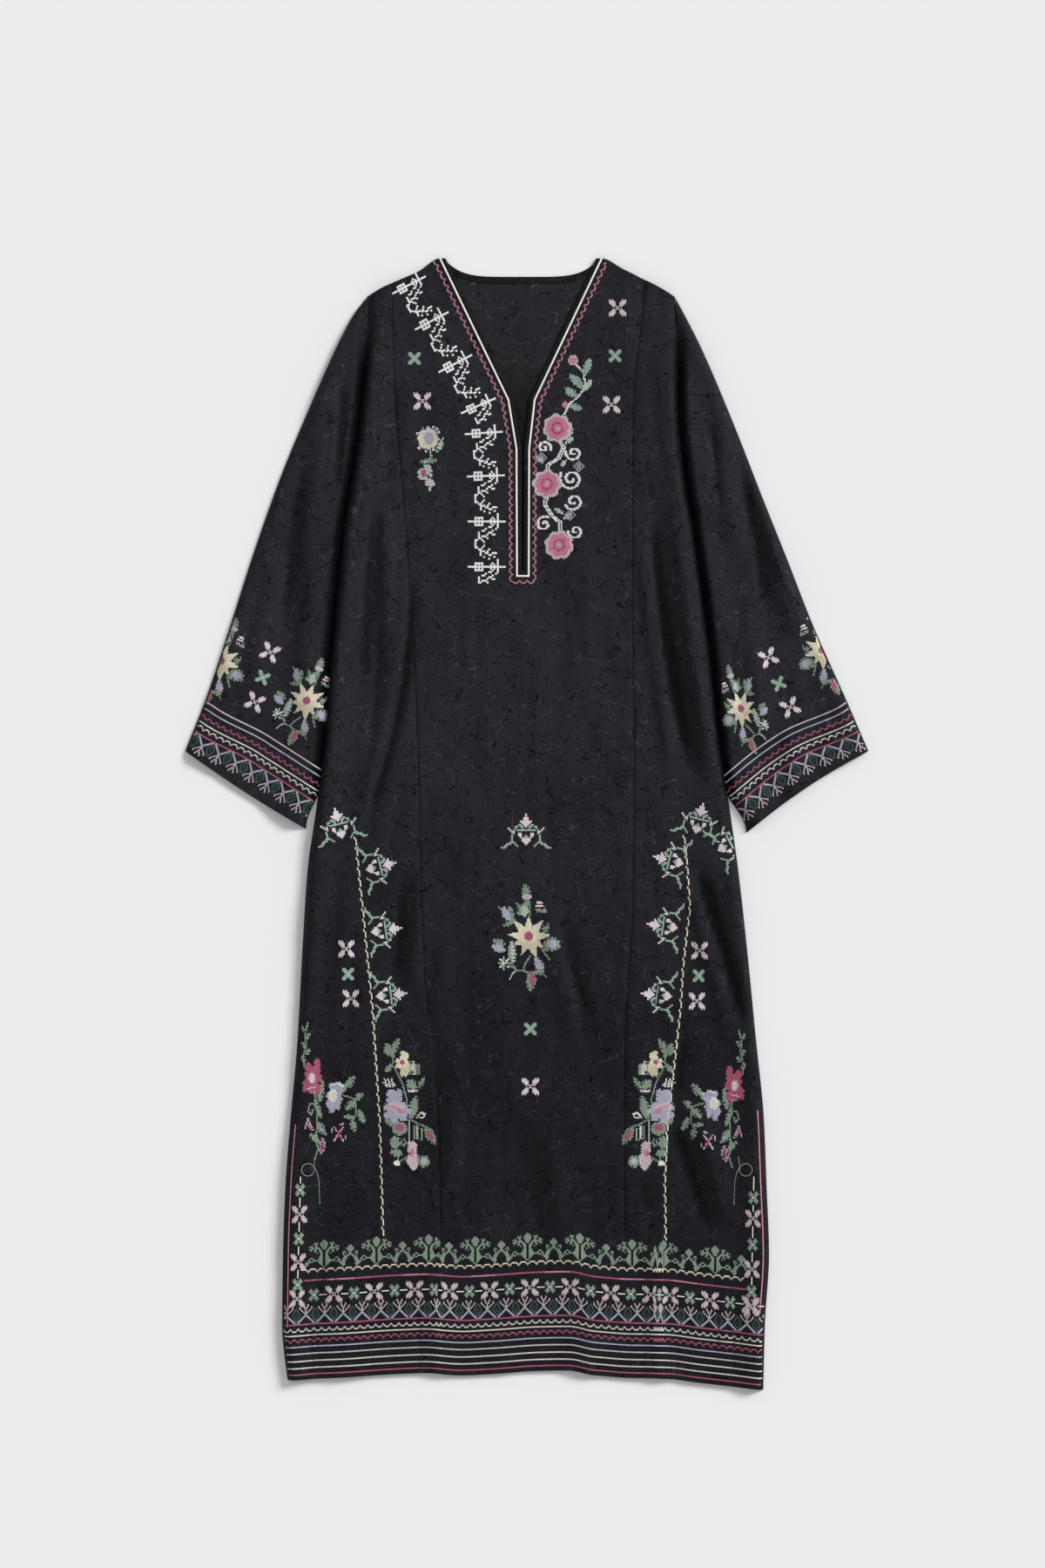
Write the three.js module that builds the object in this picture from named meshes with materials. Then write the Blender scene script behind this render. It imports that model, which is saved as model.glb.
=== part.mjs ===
// A long embroidered kaftan, laid flat on its back on a table, seen from above with the neck towards +Y.
// It is cut from eight pieces of cloth: a back, a centre front, two side fronts joined to it by long
// princess seams, two flared sleeves sewn as tubes and pressed flat, a binding round the V neck and its
// slit, and a binding on the back neck. A cream cord is couched over the seam of the neck binding.
// Millimetres, +Z up from the table. The origin is under the middle of the whole garment.

import * as THREE from 'three';

// Driving dimensions
const LENGTH = 1363; // from the neck points to the longest point of the hem
const SPAN = 823.2; // from the corner of one cuff to the corner of the other
const CLOTH = 1.4; // thickness of each cloth wall, measured straight up
const SEAM_GAP = 0.3; // between two pieces at a seam
const SLIT_FOOT = 298.6; // height of the slit's lower end
const SLIT_X = -5; // the slit stands a little left of the middle
const BINDING = 5.8; // width of the neck binding
const BACK_BINDING = 8.4; // width of the band on the back neck
const CORD_WIDTH = 2.4;
const CORD_HEIGHT = 1.2;
const VALLEY_GAP = 1.6; // between a sleeve and the body below the armpit

const NECK_POINTS = LENGTH / 2;
const FRONT_FLOOR = CLOTH + SEAM_GAP; // the front's underside where it lies on the back

// The sides of the body, from the shoulder points down to the hem. Above the armpit they are the armholes.
const BODY_SIDES = [
  { y: 636, left: -193, right: 178.5 },
  { y: 603, left: -190.5, right: 180 },
  { y: 506, left: -198, right: 181 },
  { y: 410, left: -211, right: 190 },
  { y: 362, left: -219.5, right: 198.5 },
  { y: 290, left: -227, right: 209 },
  { y: 193, left: -236, right: 221 },
  { y: 97, left: -244, right: 231.5 },
  { y: 24, left: -253, right: 243.5 },
  { y: -57, left: -264.5, right: 255 },
  { y: -141, left: -270, right: 264.5 },
  { y: -267, left: -277, right: 277 },
  { y: -351, left: -284.5, right: 285.5 },
  { y: -435, left: -291, right: 289 },
  { y: -519, left: -294, right: 292 },
  { y: -603, left: -295, right: 287 },
  { y: -682, left: -287, right: 285 },
];
const SHOULDER_TIP = 636;
const ARMPIT = 362;

// The princess seams, which part the centre front from the side fronts.
const FRONT_SEAMS = [
  { y: 680, left: -164, right: 146 },
  { y: 600, left: -162, right: 137 },
  { y: 510, left: -159, right: 128 },
  { y: 400, left: -150, right: 127 },
  { y: 276, left: -141, right: 126.5 },
  { y: 97, left: -132, right: 129 },
  { y: -97, left: -127, right: 127 },
  { y: -193, left: -123, right: 121 },
  { y: -265, left: -113, right: 118 },
  { y: -385, left: -106, right: 117 },
  { y: -682, left: -102, right: 121 },
];

// The seam between the front and its neck binding: a V, then two straight sides down the slit.
const NECK_SEAM = [
  { y: NECK_POINTS, left: -105, right: 90.3, steps: 4 },
  { y: 511, left: -22.6, right: 9.4, steps: 2 },
  { y: 452, left: -12.8, right: 2.8, steps: 4 },
  { y: SLIT_FOOT, left: SLIT_X - 7.2, right: SLIT_X + 7.2 },
];

// The shoulder line, level with the neck seam in the middle, and the wavy edge of the hem.
const SHOULDER = [
  { x: -193, y: 635 },
  { x: -172, y: 647 },
  { x: -152, y: 656 },
  { x: -130, y: 666 },
  { x: -105, y: NECK_POINTS },
  { x: 90, y: NECK_POINTS },
  { x: 117, y: 668 },
  { x: 139, y: 657 },
  { x: 159, y: 647 },
  { x: 178.5, y: 635 },
];
const HEM = [
  { x: -288, y: -669.5 },
  { x: -219, y: -666 },
  { x: -150, y: -662 },
  { x: -119, y: -661 },
  { x: -79, y: -664 },
  { x: -38, y: -662 },
  { x: 16, y: -658.5 },
  { x: 52, y: -658 },
  { x: 81, y: -663.5 },
  { x: 124, y: -667 },
  { x: 162, y: -667.5 },
  { x: 209, y: -673 },
  { x: 285, y: -LENGTH / 2 },
];
const HEM_LEVEL = -670; // the hem's mean height, from which its waves are counted
const HEM_FADE = 260; // the waves of the hem die out this far up the skirt
const SHOULDER_FADE = 169; // the slope of the shoulders dies out this far down

// The back neck is almost straight, and turns up sharply to the neck points.
const BACK_NECK = { x: -6.5, y: 659.5, halfWidth: 93, rise: 21.5, power: 5 };

// The outer edge of each sleeve is a fold, from the shoulder point to the corner of the cuff.
const CUFF_CORNER = 88;
const SLEEVE_FOLDS = [
  { y: 635, left: -194.5, right: 180 },
  { y: 615, left: -210, right: 191 },
  { y: 573, left: -232, right: 212 },
  { y: 489, left: -268, right: 247 },
  { y: 405, left: -301.5, right: 279.5 },
  { y: 321, left: -331, right: 313 },
  { y: 237, left: -358, right: 346 },
  { y: 153, left: -386, right: 383.5 },
  { y: CUFF_CORNER, left: -SPAN / 2, right: SPAN / 2 },
];
const SLEEVES = {
  left: { side: -1, cuffInnerX: -266, cuffInnerY: -6, cuffWave: -2.6 },
  right: { side: 1, cuffInnerX: 264.6, cuffInnerY: -10.5, cuffWave: 5 },
};
const CUFF_RATE = 1.77; // how much faster the rings advance along the inner edge at the cuff
const CUFF_PARTING = 55; // the sleeve parts from the body this far above the cuff
const CUFF_REACH = 0.4; // the share of the sleeve over which the cuff's wave dies out
const ARMHOLE_REACH = 0.4; // the share of the sleeve over which the armhole's bow dies out

// How far the front stands off the back: a soft swell, a roll along each side, and the largest folds.
const SWELL = 2.4;
const NECK_REST = 0.5; // the neck lies nearly flat
const SIDE_ROLL = 4.6;
const SLEEVE_ROLL = 4.2;
const EDGE_BEVEL = 1; // the folded edges of a sleeve are rounded by this much
const ROLL_CREST = 12; // from an edge to the crest of its roll
const ROLL_FOOT = 46; // from an edge to where its roll ends
const EDGE_RISE = 14; // from an edge to where the cloth stands free of the layer below
const NECK_HOLD = 14; // the binding holds the cloth down this far from the neck seam
const NECK_FREE = 44; // and lets it go altogether this far away
const FOLD_TAPER = 0.25; // the share of a fold's length in which it rises at each end
// Each fold runs from (x0, y0) to (x1, y1), bowed sideways by bow at its middle. Half is its half width,
// and rise its height, which is below 0 in a trough.
const BODY_FOLDS = [
  { x0: -182, y0: 405, x1: -200, y1: 153, bow: 0, half: 13, rise: -2.4 },
  { x0: -167, y0: 390, x1: -172, y1: 170, bow: 2, half: 15, rise: 3.0 },
  { x0: -137, y0: 330, x1: -205, y1: -30, bow: 19, half: 12, rise: -3.2 },
  { x0: -153, y0: 310, x1: -220, y1: -40, bow: 17, half: 16, rise: 2.8 },
  { x0: -146, y0: -50, x1: -156, y1: -200, bow: 0, half: 13, rise: -2.8 },
  { x0: -126, y0: -40, x1: -138, y1: -215, bow: 0, half: 15, rise: 3.4 },
  { x0: -210, y0: -45, x1: -233, y1: -250, bow: 0, half: 18, rise: 2.6 },
  { x0: -90, y0: -235, x1: -94, y1: -490, bow: 3, half: 20, rise: 3.0 },
  { x0: 45, y0: -135, x1: 78, y1: -240, bow: 0, half: 13, rise: -3.0 },
  { x0: 26, y0: -115, x1: 60, y1: -255, bow: 0, half: 15, rise: 3.4 },
  { x0: 0, y0: -385, x1: 33, y1: -510, bow: 0, half: 14, rise: -2.4 },
  { x0: 22, y0: -370, x1: 56, y1: -515, bow: 0, half: 15, rise: 3.0 },
  { x0: 76, y0: 92, x1: 115, y1: 38, bow: 0, half: 14, rise: -2.4 },
  { x0: 150, y0: 400, x1: 205, y1: 35, bow: -6, half: 13, rise: -4.2 },
  { x0: 173, y0: 420, x1: 226, y1: 30, bow: -3, half: 16, rise: 3.6 },
  { x0: 136, y0: 380, x1: 182, y1: 40, bow: -6, half: 14, rise: 2.8 },
  { x0: 200, y0: -35, x1: 270, y1: -262, bow: 3, half: 14, rise: -4.2 },
  { x0: 184, y0: -45, x1: 250, y1: -275, bow: 3, half: 16, rise: 3.8 },
  { x0: 191, y0: -245, x1: 183, y1: -335, bow: 0, half: 13, rise: -2.6 },
  { x0: 174, y0: -345, x1: 228, y1: -505, bow: 0, half: 15, rise: -3.6 },
  { x0: 198, y0: -325, x1: 252, y1: -500, bow: 0, half: 17, rise: 4.0 },
  { x0: 138, y0: -410, x1: 160, y1: -535, bow: 0, half: 13, rise: -2.4 },
  { x0: 153, y0: -440, x1: 163, y1: -740, bow: 0, half: 15, rise: 4.6 },
  { x0: -111, y0: -500, x1: -102, y1: -740, bow: 0, half: 16, rise: 3.6 },
  { x0: 72, y0: -500, x1: 64, y1: -740, bow: 0, half: 32, rise: 2.6 },
  { x0: -216, y0: -500, x1: -220, y1: -740, bow: 0, half: 42, rise: 2.2 },
];
const SLEEVE_FOLDS_RAISED = [
  { x0: -243, y0: 560, x1: -267, y1: 330, bow: 3, half: 24, rise: 3.4 },
  { x0: -219, y0: 545, x1: -229, y1: 385, bow: 0, half: 12, rise: -2.6 },
  { x0: -273, y0: 420, x1: -290, y1: 220, bow: 0, half: 15, rise: -2.4 },
  { x0: -300, y0: 350, x1: -334, y1: 150, bow: 0, half: 24, rise: 2.8 },
  { x0: -251, y0: 330, x1: -275, y1: 100, bow: 0, half: 21, rise: 2.8 },
  { x0: 231, y0: 520, x1: 254, y1: 300, bow: 0, half: 20, rise: 3.8 },
  { x0: 258, y0: 440, x1: 291, y1: 240, bow: 5, half: 14, rise: -3.6 },
  { x0: 287, y0: 430, x1: 329, y1: 195, bow: 0, half: 20, rise: 3.4 },
  { x0: 266, y0: 280, x1: 290, y1: 70, bow: 0, half: 20, rise: 3.0 },
  { x0: 313, y0: 150, x1: 330, y1: 0, bow: 0, half: 24, rise: 3.2 },
];

// The numbers of cells across and along each wall
const SKIRT_STEPS = 24; // rows from the hem to the foot of the slit
const CENTRE_STEPS = 11; // columns from a princess seam to the neck seam
const SIDE_STEPS = 12;
const SLEEVE_ACROSS = 16;
const SLEEVE_UNDER = 8;
const SLEEVE_ALONG = 18;
const BACK_HEM_STEPS = 24;
const BACK_NECK_STEPS = 28;
const SIDE_CROWDING = 1.6; // how much closer the columns of a side front lie along its outer edge

// Smooth curves through the tables

const smooth = (low, high, value) => THREE.MathUtils.smoothstep(value, low, high);
const mix = THREE.MathUtils.lerp;

// A curve through one column of a table, as a function of another column. Its slope at each row is the
// mean of the slopes on both sides, or nothing at a peak, so that it never overshoots.
function curveThrough(table, input, output) {
  const rows = [...table].sort((a, b) => a[input] - b[input]);
  const steepness = (k) => (rows[k + 1][output] - rows[k][output]) / (rows[k + 1][input] - rows[k][input]);
  const slope = rows.map((row, k) => {
    const before = steepness(Math.max(k - 1, 0));
    const after = steepness(Math.min(k, rows.length - 2));
    return before * after <= 0 ? 0 : (2 * before * after) / (before + after);
  });
  return (value) => {
    const at = THREE.MathUtils.clamp(value, rows[0][input], rows[rows.length - 1][input]);
    const k = Math.min(rows.findLastIndex((row) => row[input] <= at), rows.length - 2);
    const step = rows[k + 1][input] - rows[k][input];
    const t = (at - rows[k][input]) / step;
    const t2 = t * t;
    const t3 = t2 * t;
    return (
      (2 * t3 - 3 * t2 + 1) * rows[k][output] +
      (t3 - 2 * t2 + t) * step * slope[k] +
      (3 * t2 - 2 * t3) * rows[k + 1][output] +
      (t3 - t2) * step * slope[k + 1]
    );
  };
}

// Straight lines through one column of a table, for an edge with real corners
function linesThrough(table, input, output) {
  const rows = [...table].sort((a, b) => a[input] - b[input]);
  return (value) => {
    const at = THREE.MathUtils.clamp(value, rows[0][input], rows[rows.length - 1][input]);
    const k = Math.min(rows.findLastIndex((row) => row[input] <= at), rows.length - 2);
    const t = (at - rows[k][input]) / (rows[k + 1][input] - rows[k][input]);
    return mix(rows[k][output], rows[k + 1][output], t);
  };
}

const bodyLeft = curveThrough(BODY_SIDES, 'y', 'left');
const bodyRight = curveThrough(BODY_SIDES, 'y', 'right');
const seamLeft = curveThrough(FRONT_SEAMS, 'y', 'left');
const seamRight = curveThrough(FRONT_SEAMS, 'y', 'right');
const neckLeft = linesThrough(NECK_SEAM, 'y', 'left');
const neckRight = linesThrough(NECK_SEAM, 'y', 'right');
const shoulderY = curveThrough(SHOULDER, 'x', 'y');
const hemY = curveThrough(HEM, 'x', 'y');

function backNeckY(x) {
  const share = Math.min(Math.abs(x - BACK_NECK.x) / BACK_NECK.halfWidth, 1);
  return BACK_NECK.y + BACK_NECK.rise * share ** BACK_NECK.power;
}

// Folds

// The height that a row of folds adds at a point: each is a soft ridge or trough along a bowed line
function foldsAt(folds, x, y) {
  let height = 0;
  for (const fold of folds) {
    const along = new THREE.Vector2(fold.x1 - fold.x0, fold.y1 - fold.y0);
    const length = along.length();
    along.divideScalar(length);
    const t = ((x - fold.x0) * along.x + (y - fold.y0) * along.y) / length;
    if (t <= 0 || t >= 1) continue;
    const aside = (x - fold.x0) * -along.y + (y - fold.y0) * along.x;
    const distance = Math.abs(aside - fold.bow * 4 * t * (1 - t)) / fold.half;
    if (distance >= 1) continue;
    const taper = smooth(0, FOLD_TAPER, t) * smooth(0, FOLD_TAPER, 1 - t);
    height += fold.rise * Math.cos((Math.PI / 2) * distance) ** 2 * taper;
  }
  return height;
}

// A soft roll of cloth along an edge, at a distance in from it
function rollAt(height, distance) {
  return height * smooth(0, ROLL_CREST, distance) * (1 - smooth(ROLL_CREST, ROLL_FOOT, distance));
}

// How far the front panels stand off their lowest level at a point of the body
function frontLift(x, y) {
  const fromSide = Math.min(x - bodyLeft(y), bodyRight(y) - x);
  const outsideNeck = x < SLIT_X ? neckLeft(y) - x : x - neckRight(y);
  const fromNeck = y > SLIT_FOOT ? outsideNeck : Math.hypot(Math.max(outsideNeck, 0), SLIT_FOOT - y);
  const away = smooth(NECK_HOLD, NECK_FREE, fromNeck);
  const free = Math.max(SWELL + foldsAt(BODY_FOLDS, x, y), 0) * smooth(0, EDGE_RISE, fromSide);
  return mix(NECK_REST, free, away) + rollAt(SIDE_ROLL, fromSide) * away;
}

// The top face of the front at a point
const frontTop = (x, y) => FRONT_FLOOR + CLOTH + frontLift(x, y);

// Solids

// Collects faces, and turns them into a mesh
class Shape {
  constructor() {
    this.positions = [];
    this.index = [];
  }
  point(x, y, z) {
    this.positions.push(x, y, z);
    return this.positions.length / 3 - 1;
  }
  quad(a, b, c, d) {
    this.index.push(a, b, c, a, c, d);
  }
  geometry() {
    const geometry = new THREE.BufferGeometry();
    geometry.setAttribute('position', new THREE.Float32BufferAttribute(this.positions, 3));
    geometry.setIndex(this.index);
    geometry.computeVertexNormals();
    return geometry;
  }
}

// A wall of cloth over a grid of columns and rows. pointAt gives the top face's point at a corner of the
// grid, with columns going right and rows going up, and isCloth says which cells hold cloth.
function clothWall(columns, rows, pointAt, isCloth = () => true) {
  const shape = new Shape();
  const top = [];
  const under = [];
  for (let j = 0; j <= rows; j += 1) {
    for (let i = 0; i <= columns; i += 1) {
      const [x, y, z] = pointAt(i, j);
      top.push(shape.point(x, y, z));
      under.push(shape.point(x, y, z - CLOTH));
    }
  }
  const cloth = (i, j) => i >= 0 && j >= 0 && i < columns && j < rows && isCloth(i, j);
  for (let j = 0; j < rows; j += 1) {
    for (let i = 0; i < columns; i += 1) {
      if (!cloth(i, j)) continue;
      const a = j * (columns + 1) + i;
      const b = a + 1;
      const d = a + columns + 1;
      const c = d + 1;
      shape.quad(top[a], top[b], top[c], top[d]);
      shape.quad(under[a], under[d], under[c], under[b]);
      if (!cloth(i, j - 1)) shape.quad(under[a], under[b], top[b], top[a]);
      if (!cloth(i + 1, j)) shape.quad(under[b], under[c], top[c], top[b]);
      if (!cloth(i, j + 1)) shape.quad(under[c], under[d], top[d], top[c]);
      if (!cloth(i - 1, j)) shape.quad(under[d], under[a], top[a], top[d]);
    }
  }
  return shape.geometry();
}

// A solid swept through sections, each a closed ring of points that turns left about the way it goes
function sweep(sections) {
  const shape = new Shape();
  const rings = sections.map((section) => section.map(([x, y, z]) => shape.point(x, y, z)));
  const count = rings[0].length;
  for (let k = 0; k < rings.length - 1; k += 1) {
    for (let i = 0; i < count; i += 1) {
      const next = (i + 1) % count;
      shape.quad(rings[k][i], rings[k][next], rings[k + 1][next], rings[k + 1][i]);
    }
  }
  const first = rings[0];
  const last = rings[rings.length - 1];
  for (let i = 1; i < count - 1; i += 1) {
    shape.index.push(first[0], first[i + 1], first[i]);
    shape.index.push(last[0], last[i], last[i + 1]);
  }
  return shape.geometry();
}

// A tube with an outer and an inner ring at each station, open at both ends
function openTube(stations) {
  const shape = new Shape();
  const add = (ring) => ring.map(([x, y, z]) => shape.point(x, y, z));
  const outer = stations.map((station) => add(station.outer));
  const inner = stations.map((station) => add(station.inner));
  const count = outer[0].length;
  const end = stations.length - 1;
  for (let i = 0; i < count; i += 1) {
    const next = (i + 1) % count;
    for (let k = 0; k < end; k += 1) {
      shape.quad(outer[k][i], outer[k][next], outer[k + 1][next], outer[k + 1][i]);
      shape.quad(inner[k][i], inner[k + 1][i], inner[k + 1][next], inner[k][next]);
    }
    shape.quad(outer[0][i], inner[0][i], inner[0][next], outer[0][next]);
    shape.quad(outer[end][i], outer[end][next], inner[end][next], inner[end][i]);
  }
  return shape.geometry();
}

// The front panels

// The level of each row of the front: even steps up the skirt, then steps that keep the neck's corners
function frontRows() {
  const levels = [];
  for (let k = 0; k <= SKIRT_STEPS; k += 1) levels.push(mix(HEM_LEVEL, SLIT_FOOT, k / SKIRT_STEPS));
  for (let row = NECK_SEAM.length - 2; row >= 0; row -= 1) {
    const { y, steps } = NECK_SEAM[row];
    const from = NECK_SEAM[row + 1].y;
    for (let k = 1; k <= steps; k += 1) levels.push(mix(from, y, k / steps));
  }
  return levels;
}
const ROWS = frontRows();

// A point of the front: a share of the way from one edge line to another, on a row that bends down to
// the shoulder line at its top and follows the waves of the hem at its bottom
function frontPoint(level, share, fromLine, toLine) {
  let y = level;
  let x = 0;
  for (let pass = 0; pass < 4; pass += 1) {
    x = mix(fromLine(y), toLine(y), share);
    const hemWave = (hemY(x) - HEM_LEVEL) * (1 - smooth(HEM_LEVEL, HEM_LEVEL + HEM_FADE, level));
    const slope = (shoulderY(x) - NECK_POINTS) * smooth(NECK_POINTS - SHOULDER_FADE, NECK_POINTS, level);
    y = level + hemWave + slope;
  }
  return [x, y, frontTop(x, y)];
}

// The corners that the rows leave along one side of the body
function sidePoints(line) {
  return ROWS.map((level) => frontPoint(level, 0, line, line)).map(([x, y]) => ({ x, y }));
}

const HALF_GAP = SEAM_GAP / 2;

function centreFront() {
  const leftEdge = (y) => seamLeft(y) + HALF_GAP;
  const rightEdge = (y) => seamRight(y) - HALF_GAP;
  const columns = 2 * CENTRE_STEPS + 1;
  const pointAt = (i, j) => {
    if (i <= CENTRE_STEPS) return frontPoint(ROWS[j], i / CENTRE_STEPS, leftEdge, neckLeft);
    return frontPoint(ROWS[j], (i - CENTRE_STEPS - 1) / CENTRE_STEPS, neckRight, rightEdge);
  };
  // The column between the two halves is open above the foot of the slit
  const isCloth = (i, j) => i !== CENTRE_STEPS || j < SKIRT_STEPS;
  return clothWall(columns, ROWS.length - 1, pointAt, isCloth);
}

function sideFront(side) {
  const outer = side < 0 ? bodyLeft : bodyRight;
  const inner = side < 0 ? (y) => seamLeft(y) - HALF_GAP : (y) => seamRight(y) + HALF_GAP;
  const pointAt = (i, j) => {
    const fromOuter = side < 0 ? i : SIDE_STEPS - i;
    return frontPoint(ROWS[j], (fromOuter / SIDE_STEPS) ** SIDE_CROWDING, outer, inner);
  };
  return clothWall(SIDE_STEPS, ROWS.length - 1, pointAt);
}

// The back, which lies flat on the table and is cut to the outline of the front

function backPanel() {
  const left = sidePoints(bodyLeft);
  const right = sidePoints(bodyRight);
  const hem = [];
  for (let k = 1; k < BACK_HEM_STEPS; k += 1) {
    const x = mix(left[0].x, right[0].x, k / BACK_HEM_STEPS);
    hem.push({ x, y: hemY(x) });
  }
  const neck = [];
  const reach = BACK_NECK.halfWidth + 2;
  for (let k = 0; k <= BACK_NECK_STEPS; k += 1) {
    const x = BACK_NECK.x + reach * Math.cos((Math.PI * k) / BACK_NECK_STEPS);
    neck.push({ x, y: Math.min(backNeckY(x) - BACK_BINDING - SEAM_GAP, shoulderY(x) - 1) });
  }
  // The rows of the shoulder line between its outer ends, which the sides already hold
  const shoulders = SHOULDER.slice(1, -1).reverse();
  const rightShoulder = shoulders.filter((row) => row.x > BACK_NECK.x);
  const leftShoulder = shoulders.filter((row) => row.x < BACK_NECK.x);
  const outline = [...hem, ...right, ...rightShoulder, ...neck, ...leftShoulder, ...left.reverse()];
  const shape = new THREE.Shape(outline.map(({ x, y }) => new THREE.Vector2(x, y)));
  return new THREE.ExtrudeGeometry(shape, { depth: CLOTH, bevelEnabled: false });
}

// Bindings and cord

// The seam line of the neck, from the left neck point down the slit and up to the right one
function neckLine() {
  const levels = ROWS.slice(SKIRT_STEPS);
  const left = levels.map((y) => new THREE.Vector2(neckLeft(y), y)).reverse();
  const right = levels.map((y) => new THREE.Vector2(neckRight(y), y));
  return [...left, ...right];
}

// A line moved sideways, to the left of the way it goes, with mitred corners and ends that are cut level
function moved(line, distance) {
  const last = line.length - 1;
  return line.map((point, k) => {
    const into = k > 0 ? point.clone().sub(line[k - 1]).normalize() : line[1].clone().sub(point).normalize();
    const out = k < last ? line[k + 1].clone().sub(point).normalize() : into;
    if (k === 0 || k === last) return new THREE.Vector2(point.x - distance / out.y, point.y);
    const normal = new THREE.Vector2(-into.y - out.y, into.x + out.x).normalize();
    const mitre = distance / (normal.x * -into.y + normal.y * into.x);
    return point.clone().addScaledVector(normal, mitre);
  });
}

function neckBinding() {
  const seam = neckLine();
  const outer = moved(seam, SEAM_GAP);
  const edge = moved(seam, SEAM_GAP + BINDING);
  const low = FRONT_FLOOR + NECK_REST;
  return sweep(
    outer.map((a, k) => {
      const b = edge[k];
      return [
        [a.x, a.y, low],
        [b.x, b.y, low],
        [b.x, b.y, low + CLOTH],
        [a.x, a.y, low + CLOTH],
      ];
    }),
  );
}

function neckCord() {
  const seam = neckLine();
  const low = FRONT_FLOOR + NECK_REST + CLOTH + SEAM_GAP;
  const lanes = [-1, -0.55, 0.55, 1].map((share) => moved(seam, (share * CORD_WIDTH) / 2 + HALF_GAP));
  return sweep(
    seam.map((_, k) => {
      const [a, b, c, d] = lanes.map((lane) => lane[k]);
      return [
        [a.x, a.y, low],
        [d.x, d.y, low],
        [d.x, d.y, low + CORD_HEIGHT / 2],
        [c.x, c.y, low + CORD_HEIGHT],
        [b.x, b.y, low + CORD_HEIGHT],
        [a.x, a.y, low + CORD_HEIGHT / 2],
      ];
    }),
  );
}

function backNeckBinding() {
  const steps = 26;
  const reach = BACK_NECK.halfWidth - 1;
  const sections = [];
  for (let k = 0; k <= steps; k += 1) {
    const x = BACK_NECK.x - reach * Math.cos((Math.PI * k) / steps);
    const y = backNeckY(x);
    sections.push([
      [x, y, 0],
      [x, y, CLOTH],
      [x, y - BACK_BINDING, CLOTH],
      [x, y - BACK_BINDING, 0],
    ]);
  }
  return sweep(sections);
}

// Sleeves

function sleeve({ side, cuffInnerX, cuffInnerY, cuffWave }) {
  const column = side < 0 ? 'left' : 'right';
  const bodyEdge = side < 0 ? bodyLeft : bodyRight;
  const foldX = curveThrough(SLEEVE_FOLDS, 'y', column);
  const armholeX = linesThrough(sidePoints(bodyEdge), 'y', 'x');
  const cuffCorner = new THREE.Vector2((side * SPAN) / 2, CUFF_CORNER);
  const cuffHeel = new THREE.Vector2(cuffInnerX, cuffInnerY);

  // The inner edge follows the side of the body, and parts from it near the cuff
  const innerX = (y) => {
    const beside = bodyEdge(y) + side * VALLEY_GAP;
    return mix(cuffInnerX, beside, smooth(cuffInnerY, cuffInnerY + CUFF_PARTING, y));
  };
  // The two ends of a ring, from the cuff at 0 to the armhole at 1
  const ends = (w) => {
    const outerY = mix(CUFF_CORNER, SHOULDER_TIP - 2, w);
    const innerY = mix(cuffInnerY, ARMPIT, CUFF_RATE * w - (CUFF_RATE - 1) * w * w);
    return [new THREE.Vector2(foldX(outerY), outerY), new THREE.Vector2(innerX(innerY), innerY)];
  };
  const cuffWay = cuffHeel.clone().sub(cuffCorner).normalize();
  const cuffSide = new THREE.Vector2(cuffWay.y, -cuffWay.x).multiplyScalar(side);

  // How far the armhole seam bows away from the straight line between its ends
  const armholeBow = (s) => {
    const [outer, inner] = ends(1);
    const chord = outer.lerp(inner, s);
    return armholeX(chord.y) + side * SEAM_GAP - chord.x;
  };

  // A point of the flat sleeve: w from cuff to armhole, s from the outer fold to the inner edge
  const flat = (w, s) => {
    const [outer, inner] = ends(w);
    const point = outer.clone().lerp(inner, s);
    const wave = cuffWave * Math.sin(Math.PI * s) * (1 - smooth(0, CUFF_REACH, w));
    point.addScaledVector(cuffSide, wave);
    point.x += armholeBow(s) * smooth(1 - ARMHOLE_REACH, 1, w);
    return point;
  };
  const lift = (point, w, s) => {
    const [outer, inner] = ends(w);
    const width = outer.distanceTo(inner);
    const folds = Math.max(SWELL + foldsAt(SLEEVE_FOLDS_RAISED, point.x, point.y), 0);
    const envelope = smooth(0, EDGE_RISE, s * width) * smooth(0, EDGE_RISE, (1 - s) * width);
    return folds * envelope + rollAt(SLEEVE_ROLL, (1 - s) * width);
  };

  // One layer of a ring, as shares of the width, kept clear of both ends by an inset in millimetres
  const layer = (w, steps, inset, height) => {
    const [outer, inner] = ends(w);
    const edge = inset / outer.distanceTo(inner);
    const points = [];
    for (let k = 0; k <= steps; k += 1) {
      const s = mix(edge, 1 - edge, (1 - Math.cos((Math.PI * k) / steps)) / 2);
      const point = flat(w, s);
      points.push([point.x, point.y, height(point, s)]);
    }
    return points;
  };
  const ring = (w, inset, low, high) => {
    const middle = FRONT_FLOOR - SEAM_GAP / 2;
    const over = layer(w, SLEEVE_ACROSS, inset + EDGE_BEVEL, (point, s) => high + lift(point, w, s));
    const under = layer(w, SLEEVE_UNDER, inset + EDGE_BEVEL, () => low).reverse();
    const [outer, inner] = ends(w);
    const edge = inset / outer.distanceTo(inner);
    const fold = flat(w, edge);
    const heel = flat(w, 1 - edge);
    const loop = [[fold.x, fold.y, middle], ...over, [heel.x, heel.y, middle], ...under];
    return side > 0 ? loop.reverse() : loop;
  };
  const stations = [];
  for (let k = 0; k <= SLEEVE_ALONG; k += 1) {
    const w = k / SLEEVE_ALONG;
    stations.push({
      outer: ring(w, 0, 0, FRONT_FLOOR + CLOTH),
      inner: ring(w, CLOTH, CLOTH, FRONT_FLOOR),
    });
  }
  return openTube(stations);
}

// The garment

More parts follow.
